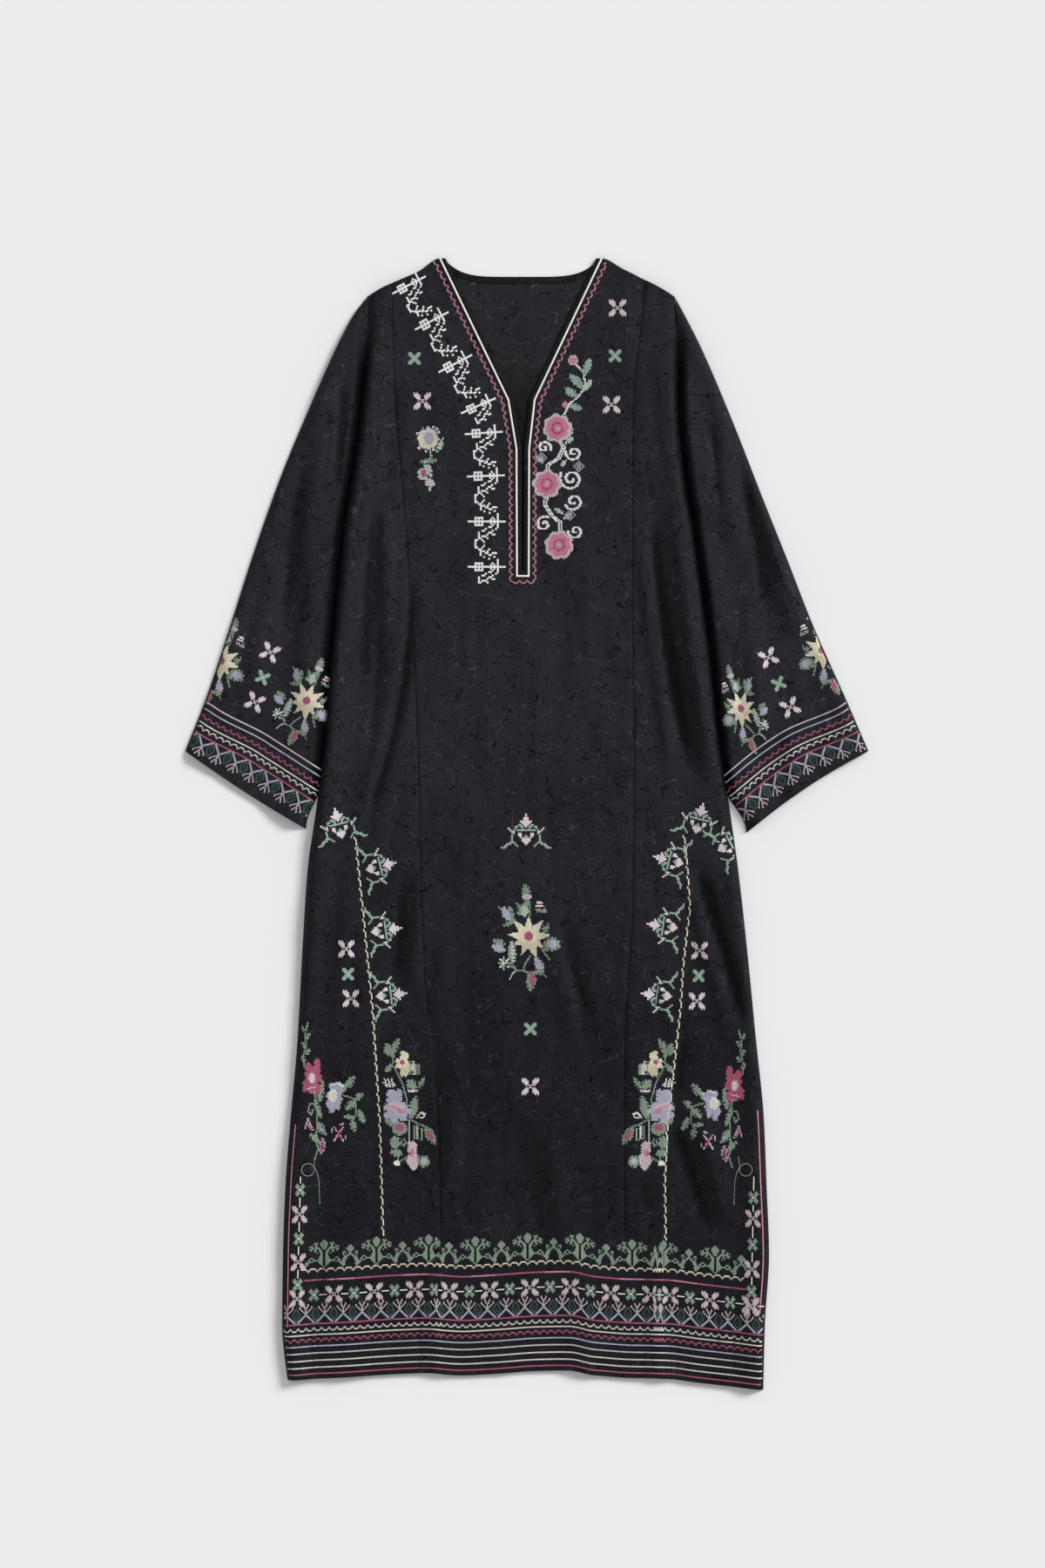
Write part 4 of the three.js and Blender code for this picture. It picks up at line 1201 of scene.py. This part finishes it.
def star_spray():
    """An eight-pointed flower with buds and leaves all round it."""
    motif = {}
    stem(motif, "G", (0, 20), (1, 16), (1, 12))
    leaf(motif, "G", -2, 31, -1, 19, 6)
    oval(motif, "P", -1, 23, 5.5, 3)
    oval(motif, "G", -1, 20, 3.5, 3)
    oval(motif, "G", -3, 15.5, 8, 8.5, petals=5)
    oval(motif, "M", -2.5, 15, 5, 6)
    leaf(motif, "G", -7, 20, -4, 14, 2)
    for row, key in ((20, "W"), (19, "P"), (18, "W"), (17, "R"), (16, "P"), (15, "G"), (14, "G")):
        stem(motif, key, (4 + abs(row - 17) // 2, row), (8 + (19 - row) // 2, row))
    leaf(motif, "L", -15, 17.5, -10, 8.5, 6)
    leaf(motif, "G", -11, 18, -9, 9, 3)
    leaf(motif, "G", -15, 6, -7, 10, 3)
    stem(motif, "L", (-17, 17), (-15, 15))
    leaf(motif, "G", 8, 1, 11, 8, 4)
    leaf(motif, "G", 8, -4, 19, -4, 9)
    oval(motif, "L", 13, -4, 6, 5)
    stem(motif, "G", (9, -9), (12, -13))
    leaf(motif, "G", 7, -8, 12, -6, 3)
    leaf(motif, "G", -21, -2, -13, -4, 4)
    leaf(motif, "L", -21, -4.5, -13.5, -8, 5.5)
    leaf(motif, "M", -10, -2, -9, -16, 5)
    stem(motif, "G", (-11, -3), (-10, -15), (-8, -17))
    for turn in range(0, 180, 45):
        dx, dy = 3.4 * np.cos(np.radians(turn)), 3.4 * np.sin(np.radians(turn))
        stem(motif, "W" if turn % 90 else "M", (-14 - dx, -15 - dy), (-14 + dx, -15 + dy))
    stem(motif, "G", (-13, -16), (-9, -17), (-7, -19), (-3, -19), (-2, -15), (1, -11))
    stem(motif, "M", (-7, -19), (-9, -21), (-11, -24))
    stem(motif, "G", (-3, -19), (0, -21), (2, -22))
    stem(motif, "K", (4, -11), (4, -14))
    leaf(motif, "L", 4, -11.5, 8, -20.5, 5.5)
    leaf(motif, "G", 3, -21, 9, -19, 4)
    stem(motif, "G", (8, -21), (10, -23))
    leaf(motif, "G", 2, -19, 1, -31, 6.5)
    leaf(motif, "R", 2, -20, 2, -28, 4)
    motif = ragged(motif, 41)
    # The rays: the length of each at the way that it points, in degrees
    rays = {90: 12, 49: 13, 5: 13, -36: 11, -70: 13.5, -112: 11.5, -152: 10, 172: 12, 132: 13}
    for turn, reach in rays.items():
        cos, sin = np.cos(np.radians(turn)), np.sin(np.radians(turn))
        for i in range(-20, 21):
            for j in range(-20, 21):
                along, aside = (i * cos + j * sin) / FINER, abs(j * cos - i * sin) / FINER
                if along >= 0 and aside <= 4.4 * (1 - along / reach):
                    motif[i, j] = "Y" if turn > -10 else "K"
    oval(motif, "Y", 0, 0.5, 10, 9.5)
    oval(motif, "K", 0.5, -3.5, 6, 3)
    oval(motif, "R", 0, 0.5, 5.4, 5.4)
    return motif


def bouquet():
    """A tall bunch: straw, lilac and pink flowers up one stem, with buds and leaves."""
    motif = {}
    leaf(motif, "G", -14, 35, -9, 29, 4)
    leaf(motif, "G", -6, 38, -10, 28, 4)
    leaf(motif, "G", -15, 32, -8, 27, 4)
    stem(motif, "G", (-9, 28), (-9, 22), (-7, 18), (-4, 12), (-2, 5), (0, -8))
    oval(motif, "Y", -3, 27.5, 6, 6.5, petals=3)
    oval(motif, "Y", -4, 23, 9, 8, petals=5)
    oval(motif, "K", -3, 18.5, 5, 8, petals=2)
    oval(motif, "R", -4, 24, 2.4, 3)
    oval(motif, "K", 0, 21, 4, 5)
    for column, key in enumerate("GMPKMGG"):
        stem(motif, key, (1 + column * 0.8, 24 - column // 3), (1 + column * 0.8, 17))
    leaf(motif, "G", -14, 18, -9, 23, 4)
    for column in range(-14, -8, 2):
        stem(motif, "W", (column, 14), (column + 1, 10))
    stem(motif, "M", (-15, 12), (-8, 11))
    leaf(motif, "G", -2, 13, 5, 9, 6)
    leaf(motif, "G", 5, 9, 9, 15, 4)
    stem(motif, "P", (-1, 8), (5, 8))
    stem(motif, "W", (0, 7), (4, 7))
    leaf(motif, "G", 1, -9, 4, 5, 6)
    oval(motif, "L", -8.5, 4, 11, 10, 45, petals=4, depth=0.25)
    oval(motif, "L", -7, -4.5, 17, 13, petals=7, depth=0.28)
    oval(motif, "P", -8, -1, 12, 4, -8, petals=6)
    stem(motif, "Q", (-12, -1), (-7, -2), (-3, -5))
    oval(motif, "Q", -5, -4, 4, 2.5, -30)
    stem(motif, "L", (0, -9), (0, -23))
    oval(motif, "G", -5.5, -14, 8.5, 8)
    oval(motif, "R", -5.5, -13.5, 5.5, 4)
    leaf(motif, "G", -14, -8, -9, -13, 3.5)
    for column, key in ((3, "G"), (4, "M"), (5, "W"), (6, "G"), (7, "M")):
        stem(motif, key, (column, -12 - column // 3), (column, -19 - column // 3))
    stem(motif, "W", (4, -8), (7, -5), (9, -6), (8, -8), (6, -8))
    stem(motif, "G", (1, -9), (4, -11), (9, -13))
    leaf(motif, "G", 9, -13, 15, -23, 6)
    leaf(motif, "R", 10, -15, 14, -21, 3.4)
    oval(motif, "G", -8, -22, 6, 7)
    stem(motif, "G", (-3, -20), (-2, -22), (-3, -24), (-5, -23), (-4, -21))
    leaf(motif, "G", -11, -27, -4, -29, 5)
    stem(motif, "G", (-6, -28), (-7, -34), (-2, -31))
    oval(motif, "W", -7, -34, 3.4, 3.4)
    oval(motif, "P", 1.5, -24.5, 6.5, 8, petals=3)
    oval(motif, "P", 2.5, -32, 8, 12.5, petals=4, depth=0.2)
    oval(motif, "Q", 1.5, -28, 3, 5)
    oval(motif, "G", 8.5, -33, 6.5, 7)
    oval(motif, "M", 8.5, -33, 3.5, 4)
    return motif


def rose_branch():
    """A branch with a rose, a lilac flower, leaves and a butterfly."""
    motif = {}
    stem(motif, "G", (-14, 46), (-16, 39), (-15, 33), (-17, 27), (-16, 20))
    for k, top in enumerate((44, 40, 35, 31, 27)):
        out = 2.5 if k % 2 else -2.5
        leaf(motif, "G", -15.5 + out, top, -15.5, top - 4, 2.6)
    stem(motif, "G", (-10, 5), (-8, -4), (-9, -18), (-8, -27), (-10, -33))
    leaf(motif, "G", -5, 13, -7, 0, 4.5)
    leaf(motif, "G", -10, 2, -6, -9, 3.5)
    oval(motif, "R", -8.5, 20, 4.5, 11)
    oval(motif, "R", -13.5, 19, 4.5, 8, 10)
    oval(motif, "R", -11, 14, 11.5, 13, petals=5)
    oval(motif, "R", -13.5, 9.5, 9, 9, petals=5)
    oval(motif, "R", -9, 8, 6.5, 8, petals=3)
    oval(motif, "P", -11.5, 14, 4.4, 6.5)
    oval(motif, "I", -11.5, 14, 2.6, 4.5)
    stem(motif, "P", (-14, 8), (-9, 9))
    stem(motif, "P", (-13, 6), (-10, 6))
    oval(motif, "L", 3.5, 7.5, 11, 9.5, petals=5)
    oval(motif, "L", 2, 1.5, 10.5, 15, petals=7, depth=0.22)
    oval(motif, "L", 7, 8, 6, 6, petals=3)
    stem(motif, "L", (-1, -2), (-1, -6))
    stem(motif, "W", (1, 10), (5, 11), (8, 9))
    oval(motif, "W", 1.5, 4, 5.4, 7.5)
    oval(motif, "Y", 1.5, 3.5, 3.4, 5)
    leaf(motif, "G", 8, 7, 15, 15, 5)
    stem(motif, "G", (8, 4), (12, 3), (16, 1), (16, -7), (14, -9))
    leaf(motif, "G", 14, 1, 20, 5, 4)
    leaf(motif, "G", 9, -4, 16, 1, 5)
    leaf(motif, "G", 17, -4, 21, -12, 4.5)
    leaf(motif, "G", 8, -8, 15, -9, 3)
    leaf(motif, "G", 13, -9, 15, -17, 4)
    stem(motif, "G", (-10, -1), (-13, -1), (-14, -5), (-12, -7), (-11, -4))
    stem(motif, "L", (-16, -15), (-14, -9), (-11, -16))
    stem(motif, "Q", (-15, -12), (-12, -14))
    stem(motif, "R", (-14, -13), (-12, -16))
    leaf(motif, "G", -9, -11, -3, -19, 5)
    oval(motif, "L", -5.5, -16, 1.5, 2.5)
    leaf(motif, "G", -13, -18, -7, -23, 4)
    stem(motif, "P", (2, -14), (8, -22))
    stem(motif, "P", (8, -14), (2, -22))
    stem(motif, "R", (3, -15), (7, -21))
    stem(motif, "R", (7, -16), (4, -20))
    stem(motif, "L", (1, -15), (1, -17))
    stem(motif, "L", (8, -12), (6, -13))
    stem(motif, "L", (9, -21), (9, -19))
    leaf(motif, "L", -5, -20, -6, -30, 4.5)
    leaf(motif, "R", -5, -22, -6, -28, 3)
    return motif


star = star_spray()
bunch = ragged(bouquet(), 42)
branch = ragged(rose_branch(), 43)


def on_front(x, y):
    """Where a stitch can lie: clear of the rolled sides and of the edge of the hem."""
    return (x > body_left(y) + 2.6) & (x < body_right(y) - 2.6) & (y > hem_y(x) + 1)


# The hem's needlework
# Eight ruled lines, three running waves, a row of trees, a chain of flowers and a row of palmettes go
# round the skirt. The chain turns up beside both vents, and pink lines edge the vents.
# Two tucks in the hem take up some of its width: the count along the hem, and where it lies
HEM_TUCKS = [(-320, -320), (-110, -110), (-94, -101), (160, 153), (198, 165), (340, 307)]
hem_x = line_through(HEM_TUCKS, 1, straight=True)
WAVE_COUNT = 1.55  # the waves are on a finer count
ROSE_WAVE = ["RRR...", "...R.R", "....R."]
IVORY_WAVE = ["....I.", "...I.I", "III..."]
STRAW_WAVE = ["YYYY...", "....Y.Y", ".....Y."]
TREES = [
    "......P...P.....",
    "......P...P.....",
    "...P...P.P...P..",
    "D..P...P.P...P..",
    ".D..P...P...P..D",
    ".D...P..P..P...D",
    "..D...P.P.P...D.",
    "..D....PPP....D.",
    "D..D....L....D..",
    "...D...LLL...D..",
    "D.D...LL.LL...D.",
    "..D..LL...LL..D.",
    ".D..LL.....LL..D",
    "DD.LL.......LL.D",
    "..LL.........LL.",
    ".LL...........LL",
]
TREE_COUNT = 1.41
PALMETTE_COUNT = 1.5
HALF_PALMETTES = [
    "G....................",
    "GG...................",
    "GGG..G.G.............",
    "GGG..GGG.............",
    "GGG...G..G...........",
    "GG...GG..GGG........G",
    "GG..GGGGGG.........GG",
    "G..GG.G..GGG......GGG",
    "..GG..GG..G.......GGG",
    ".GGG...G...........GG",
    ".GG..G.........GG...G",
    ".GG............G.G..G",
    ".GG............G...GG",
    ".GGG............G.GG.",
    ".GGG.....GG.....GGG..",
    ".GGGG...G..G...GGG...",
    ".GGGGGGGG..GG..GGG...",
    ".GGGG....GG.G.GGG....",
    ".GGG........GGGGG....",
    ".GG..........GGGG....",
    ".G............GGG....",
    "G..............G.....",
]
# The chart goes from the middle of a large palmette to the middle of a small one. A repeat is the chart
# with its mirror image, and starts this many columns before the middle of a large one.
PALMETTE_LEAD = 15
PALMETTES = []
for row in HALF_PALMETTES:
    mirrored = row[::-1]
    PALMETTES.append(mirrored[-PALMETTE_LEAD:] + row + mirrored[:-PALMETTE_LEAD])
HEM_REACH = (-300, 330)  # the lines and bands run past both sides, and are cut off there
# The ruled lines: the thread at each height over the edge of the hem
HEM_LINES = {6.3: "R", 13.9: "I", 22.3: "I", 31.2: "P", 39.6: "L", 53.2: "I", 66.4: "R"}
TOP_LINE = {"from": -268, "stretch": 29.7, "stretches": 19, "height": 119}
CHAIN = {"from": -256.7, "pitch": 24.3, "flowers": 24, "height": 101}
# Beside a vent the chain goes from here to here
CHAIN_TOP = -424
CHAIN_FOOT = -582
FLOWER_REACH = 9
# The chain beside each vent: its x, how it leans, and its flowers as y and whether they are pink
SIDE_CHAINS = [
    (-274.5, 2.2, ((-440, 0), (-469.4, 1), (-498.8, 0), (-527, 1), (-554.4, 0), (-571, 1))),
    (271.5, 1.6, ((-449.4, 0), (-474.6, 1), (-506, 0), (-535.5, 1), (-562.8, 0), (-581.7, 1))),
]
# The line along each vent: the body's edge, how far to its right, its top and its foot
VENT_LINES = [(body_left, 7.0, -361, -604), (body_right, -7.5, -344, -588)]


def hem_at(u, v):
    x = float(hem_x(u))
    slope = float(hem_y(x + 3) - hem_y(x - 3)) / 6
    return x, float(hem_y(x)) + v, np.arctan(slope)


stitches = band(STRAW_WAVE, hem_at, -271, 296, 129, count=WAVE_COUNT)
stitches += band(IVORY_WAVE, hem_at, *HEM_REACH, 58.2, count=WAVE_COUNT)
stitches += band(ROSE_WAVE, hem_at, *HEM_REACH, 45, count=WAVE_COUNT)
stitches += band(TREES, hem_at, *HEM_REACH, 68.5, count=TREE_COUNT)
stitches += band(PALMETTES, hem_at, -266, 299, 134.5, count=PALMETTE_COUNT)
strokes = []
for height, key in HEM_LINES.items():
    strokes += ruled(hem_at, *HEM_REACH, height, key)
for k in range(TOP_LINE["stretches"]):
    u = TOP_LINE["from"] + TOP_LINE["stretch"] * k
    key = "Q" if k % 3 == 1 else "R"
    strokes += ruled(hem_at, u, u + TOP_LINE["stretch"], TOP_LINE["height"], key, width=1.8)
for k in range(CHAIN["flowers"]):
    u = CHAIN["from"] + CHAIN["pitch"] * k
    if k % 2:
        stitches += lay(PINK_CROSS, hem_at, u, CHAIN["height"], count=PETAL_COUNT)
        for start, end in ((u - 18, u - 9.5), (u + 8.5, u + 17)):
            strokes += ruled(hem_at, start, end, CHAIN["height"], "W", width=1.0)
    else:
        stitches += lay(GREEN_FLOWER, hem_at, u, CHAIN["height"], squeeze=0.78)
for x, lean, flowers in SIDE_CHAINS:
    chain, length = line_at([(x + lean, CHAIN_TOP), (x - lean, CHAIN_FOOT)])
    stops = [-FLOWER_REACH, *(CHAIN_TOP - y for y, _ in flowers), length]
    for above, below in zip(stops, stops[1:]):
        strokes += ruled(chain, above + FLOWER_REACH, below - FLOWER_REACH, 0, "W", width=1.0)
    for y, pink in flowers:
        middle = x + lean * (2 * y - CHAIN_TOP - CHAIN_FOOT) / (CHAIN_TOP - CHAIN_FOOT)
        if pink:
            stitches += lay(PINK_CROSS, flat(middle, y, squeeze=0.85), count=PETAL_COUNT)
        else:
            stitches += lay(GREEN_FLOWER, flat(middle, y, squeeze=0.78))
for edge, inset, top, foot in VENT_LINES:
    levels = np.linspace(top, foot, 30)
    vent, length = line_at(np.stack([edge(levels) + inset, levels], -1))
    strokes += ruled(vent, 0, length, 0, "Q", width=1.2)
hem_work = needlework("hem_needlework", front_height, on_front, stitches, strokes)


# The skirt's needlework
# A vine of lilies and a straw wave come down each side from the waist, a bouquet hangs below the vine
# on each side, and a rose branch grows beside each vent. A star flower stands in the middle.
stitches = lay(FLEUR, flat(-1.1, -9.5)) + lay(star, flat(2.1, -136), count=FINE_COUNT)
stitches += lay(GREEN_CROSS, flat(4.2, -246.8)) + lay_cross(1, flat(4.2, -316))
centre_work = needlework("centre_needlework", front_height, on_front, stitches)

STRAW_STEPS = ["..YYYYY.", "YY......"]
BRANCH_SQUEEZE = 0.92  # the branches and crosses near the sides are a little narrower
# The loop and the tail at the foot of the right branch. On the left they are mirrored
LOOP = {"x": 263.5, "y": -416, "radius": 7.6}
TAIL = [(254.5, -400), (256.5, -412), (252.5, -420), (250.5, -430), (249.5, -458)]
# On each side: the wave's line, the lilies as x, y and turn, the crosses as x, y and whether they are
# pink, and the places of the bouquet and the branch
SKIRT_SIDES = {
    -1: {
        "line": [(-207, -16), (-197.4, -109), (-186, -225), (-177.5, -361), (-173.3, -498)],
        "lilies": [(-226, -2, 14), (-178.5, -51.5, -76), (-172.2, -128, -82), (-166, -206, -84)],
        "crosses": [(-217.4, -150.2, 1), (-215.3, -180.6, 0), (-212.1, -210, 1)],
        "bouquet": (-141.8, -337),
        "branch": (-236.3, -335),
    },
    1: {
        "line": [
            (189, -14),
            (193.2, -55),
            (196, -102),
            (188, -170),
            (185, -220),
            (176.4, -299),
            (169, -363),
            (166, -427),
            (167, -503),
        ],
        "lilies": [(207, 4, -14), (243.6, -24.2, -60), (173.3, -44, 76), (166, -123, 82), (159, -206, 84)],
        "crosses": [(207.9, -152.3, 1), (206.9, -182.7, 0), (204.8, -213.2, 1)],
        "bouquet": (147, -337),
        "branch": (227.9, -344.4),
    },
}
turn = np.linspace(0, 2 * np.pi, 20)
loop = np.stack([LOOP["x"] + LOOP["radius"] * np.cos(turn), LOOP["y"] + LOOP["radius"] * np.sin(turn)], -1)
for side, name in ((-1, "left_skirt_needlework"), (1, "right_skirt_needlework")):
    places = SKIRT_SIDES[side]
    line, length = line_at(places["line"])
    stitches = band(STRAW_STEPS, line, 0, length, -WAVE_COUNT / 2, count=WAVE_COUNT)
    stitches += lay(bunch, flat(*places["bouquet"]), mirror=side > 0, count=FINE_COUNT)
    branch_at = flat(*places["branch"], squeeze=BRANCH_SQUEEZE)
    stitches += lay(branch, branch_at, mirror=side > 0, count=FINE_COUNT)
    strokes = []
    for points in (loop, np.array(TAIL)):
        loose, reach = line_at(points * (side, 1))
        strokes += ruled(loose, 0, reach, 0, "G", width=0.5, step=1.7)
    for x, y, turn in places["lilies"]:
        stitches += lay(FLEUR, flat(x, y, turn))
    for x, y, pink in places["crosses"]:
        stitches += lay_cross(pink, flat(x, y, squeeze=BRANCH_SQUEEZE))
    needlework(name, front_height, on_front, stitches, strokes)


# The neck's needlework
# A white vine with square flowers goes down the left of the V and the slit. Rosettes, round tendrils
# and lozenges go down the right, and a pink wave runs round the whole neck outside the cord.
VINE = [
    ".................W....",
    ".................W....",
    "....WWWWW.....W..W....",
    "....W.W.W....W.W.W....",
    "WWWWWWWWWWWWWWWWWWWWWW",
    "....W.W.W....W.W.W....",
    "....WWWWW.....W..W....",
    "............WW...W....",
    "..........W.....W.....",
    "........WW....W.......",
    "......W.....WW........",
    "......W....W..WW......",
    "......W.WWW...........",
    "......WW...W..........",
    "....WW..W.............",
    "....W....W............",
    "....W.................",
    "....W....W............",
    "....WW..W.............",
    "......WW....W.........",
    ".......WWW.W..........",
    ".......W..WW..WWW.....",
    ".......W....WW........",
    ".........W.....W......",
    "............W.........",
]
VINE_ORIGIN = (6, 4)  # the column and the row that are laid on each place
VINE_COLUMN = 2.07
VINE_STITCH = 2.15
# The repeats of the vine: x, y, turn, how many rows are worked, the height of a row
VINE_REPEATS = [
    (-150.2, 644.7, 28, 25, 2.09),
    (-122.9, 601.7, 28, 25, 2.41),
    (-94.5, 550.2, 28, 25, 2.34),
    (-67, 500, 24, 14, 2.1),
    (-61.2, 470.4, 4, 25, 2.11),
    (-58.8, 419, 2, 25, 2.24),
    (-57.8, 364.4, 0, 25, 2.24),
    (-57.8, 309.8, 0, 14, 2.1),
]
# The crosses: x, y, whether pink
NECK_CROSSES = [
    (-126, 509.3, 1),
    (109.2, 621.6, 1),
    (101.9, 505, 1),
    (-135.5, 560.7, 0),
    (106.1, 563.9, 0),
]
ROSETTES = [(36.7, 476.7), (22, 409.5), (38.8, 336)]
ROSETTE_REACH = 17  # the pink wave stops this far from a rosette's middle
LOZENGE = folded_chart(["L", ".L", "L.L", ".L.L", "LL..L", ".L.L", "L.L", ".L", "L"])


def tendril(motif, key, x, y, radius, turns, start):
    """A round spiral that winds in from its rim."""
    share = np.linspace(0, 1, int(14 * turns * radius))
    way = np.radians(start) + 2 * np.pi * turns * share
    reach = radius * (1 - 0.85 * share)
    stem(motif, key, *zip(x + reach * np.cos(way), y + reach * np.sin(way)))


def rosette_vine():
    """Rosettes on a winding double stem, with round tendrils, lozenges and leaves in pairs."""
    motif = {}
    upper = [(2, 27), (5, 23), (2, 17), (-4, 13), (-5, 8)]
    lower = [(-5, -5), (-6, -10), (-2, -16), (3, -20), (3, -27)]
    for lane in (0, 1.6):
        for line in (upper, lower):
            stem(motif, "W", *((x + lane, y) for x, y in line))
    for x, y, radius, turns, start in (
        (9.5, 5, 6.6, 1.6, 150),
        (11, 20, 4.8, 1.3, 170),
        (-6, -21, 4.6, 1.3, 60),
        (11, -8, 5.2, 1.4, 200),
        (12, -25, 4.4, 1.3, 180),
        (-6, 23, 4.0, 1.2, -20),
    ):
        for lane in (0, 0.7):
            tendril(motif, "W", x + lane, y, radius, turns, start)
    for x, y, dx, dy in (
        (6, 25, 6, 4),
        (7, 27, 4, 7),
        (0, -12, 6, -3),
        (5, -18, 6, 3),
        (-6, 14, -4, 4),
        (4, 12, 3, 4),
    ):
        leaf(motif, "M", x, y, x + dx, y + dy, 2.6)
    for x, y in ((-7, 17), (9, -16), (14, 12)):
        motif.update({(i + round(x * FINER), j + round(y * FINER)): key for (i, j), key in LOZENGE.items()})
    for x, y, turn in ((2, 34, 10), (-4, 2, 40), (3, -33, -15)):
        for key, width, petals in (("P", 17, 8), ("Q", 13.5, 8), ("R", 7.5, 8), ("Q", 5, 0), ("P", 2, 0)):
            oval(motif, key, x, y, width, width, turn, petals, 0.14)
    stem(motif, "W", (6, 42), (9, 48), (14, 52), (18, 58), (17, 66), (12, 71))
    leaf(motif, "S", 14, 52, 6, 57, 5)
    leaf(motif, "S", 17, 57, 9, 65, 5.5)
    leaf(motif, "S", 17, 64, 21, 74, 5)
    leaf(motif, "S", 9, 47, 16, 45, 4)
    leaf(motif, "M", 16, 55, 22, 62, 4)
    oval(motif, "P", 11, 73, 6, 6, petals=6, depth=0.15)
    oval(motif, "Q", 11, 73, 4, 4)
    oval(motif, "Q", 6.5, 47.5, 4, 4, petals=4)
    return motif


def straw_sprig():
    """A round straw flower with a lilac eye, over a short stem with leaves and two buds."""
    motif = {}
    stem(motif, "M", (1, -6), (2, -10), (0, -14), (1, -20))
    oval(motif, "I", 0, 0.5, 12.5, 13.5, petals=12, depth=0.2)
    oval(motif, "Y", 0, -1.5, 10.5, 8)
    oval(motif, "L", 0.5, 0.5, 5.5, 7.5)
    for x, y in ((5, 6), (3, 7), (6, 0), (6, 4), (-6, 3), (-5, -5), (-1, -7), (3, -6)):
        oval(motif, "I", x, y, 1.6, 1.6)
    leaf(motif, "M", 5, -8, 9, 1, 3)
    leaf(motif, "G", -5, -13, 6, -12, 3)
    leaf(motif, "M", -2, -12, 2, -22, 4)
    oval(motif, "M", -3, -20, 6, 7)
    oval(motif, "R", -2.5, -19.5, 3.2, 4.5)
    oval(motif, "P", 1, -25, 6, 4.5, -25)
    oval(motif, "M", 1, -28, 2, 4)
    return motif


stitches = []
for x, y, turn, rows, pitch in VINE_REPEATS:
    cells = chart(VINE[:rows], VINE_ORIGIN)
    for at_x, at_y, way, _, key in lay(cells, flat(x, y, turn), squeeze=VINE_COLUMN / pitch, count=pitch):
        stitches.append((at_x, at_y, way, VINE_STITCH, key))
wave, length = line_at(moved(seam, -6.7))
pink_wave = [row.replace("R", "Q") for row in ROSE_WAVE]
run = band(pink_wave, wave, 4, length - 4, 1.5, down=True, count=WAVE_COUNT)
for x, y in ROSETTES:
    run = [stitch for stitch in run if np.hypot(stitch[0] - x, stitch[1] - y) > ROSETTE_REACH]
stitches += run + lay(rosette_vine(), flat(32.5, 405.3), count=FINE_COUNT)
stitches += lay(ragged(straw_sprig(), 44), flat(-119.2, 463.5), count=FINE_COUNT)
for x, y, pink in NECK_CROSSES:
    stitches += lay_cross(pink, flat(x, y))
neck_work = needlework("neck_needlework", front_height, on_front, stitches)


# The cuffs' needlework
# The same lines, waves and trees as on the hem go round each cuff, with the trees pointing to its edge.
# Above them are star flowers, one of them cut off at the outer fold, and small crosses.
CUFF_ARCH = 8.5  # the rows of the cloth run this much higher in the middle of the cuff than at the fold
CUFF_LINES = {27: "R", 40: "I", 56: "L", 63.6: "P"}  # the thread at each height over the cuff's edge
CUFF_STAR_COUNT = 0.87 * FINE_COUNT
# On each side: the star flowers as x, y, turn and squeeze, and the crosses as x, y and whether pink
CUFF_SIDES = {
    -1: {
        "flowers": [(-265.5, 147.7, -24, 1.0), (-368.6, 195.9, -24, 1.0)],
        "crosses": [(-309.2, 206.9, 1), (-318.2, 176.4, 0), (-327.6, 147, 1)],
    },
    1: {
        "flowers": [(257.9, 138.3, 20, 0.78), (356.3, 209.2, 22, 1.0)],
        "crosses": [(290.9, 200.6, 1), (303.5, 169, 0), (317.1, 140.7, 1)],
    },
}
for side, name in ((-1, "left_sleeve_needlework"), (1, "right_sleeve_needlework")):
    heel_x, heel_y, cuff_wave = CUFFS[side]
    ends = [(side * SPAN / 2, CUFF_CORNER), (heel_x, heel_y)][::-side]
    chord, length = line_at(ends)

    def cuff_at(u, v, side=side, chord=chord, length=length, wave=cuff_wave):
        """A count that follows the waving edge of the cuff."""
        share = np.clip(u / length, 0, 1)
        from_fold = share if side < 0 else 1 - share
        arch = CUFF_ARCH * (smooth(0, 0.45, from_fold) - 0.2 * smooth(0.6, 1, from_fold))
        return chord(u, v + arch + wave * np.sin(np.pi * share))

    start, end = -20, length + 30
    stitches = band(TREES, cuff_at, start, end, 25.2, down=True, count=TREE_COUNT)
    stitches += band(ROSE_WAVE, cuff_at, start, end, 49, down=True, count=WAVE_COUNT)
    stitches += band(IVORY_WAVE, cuff_at, start, end, 35.5, down=True, count=WAVE_COUNT)
    strokes = []
    for height, key in CUFF_LINES.items():
        strokes += ruled(cuff_at, start, end, height, key)
    for x, y, turn, squeeze in CUFF_SIDES[side]["flowers"]:
        stitches += lay(star, flat(x, y, turn, squeeze), mirror=side > 0, count=CUFF_STAR_COUNT)
    for x, y, pink in CUFF_SIDES[side]["crosses"]:
        stitches += lay_cross(pink, flat(x, y, 24 * side))
    _, height_at, inside, _ = sleeve_shapes[side]
    needlework(name, height_at, inside, stitches, strokes)
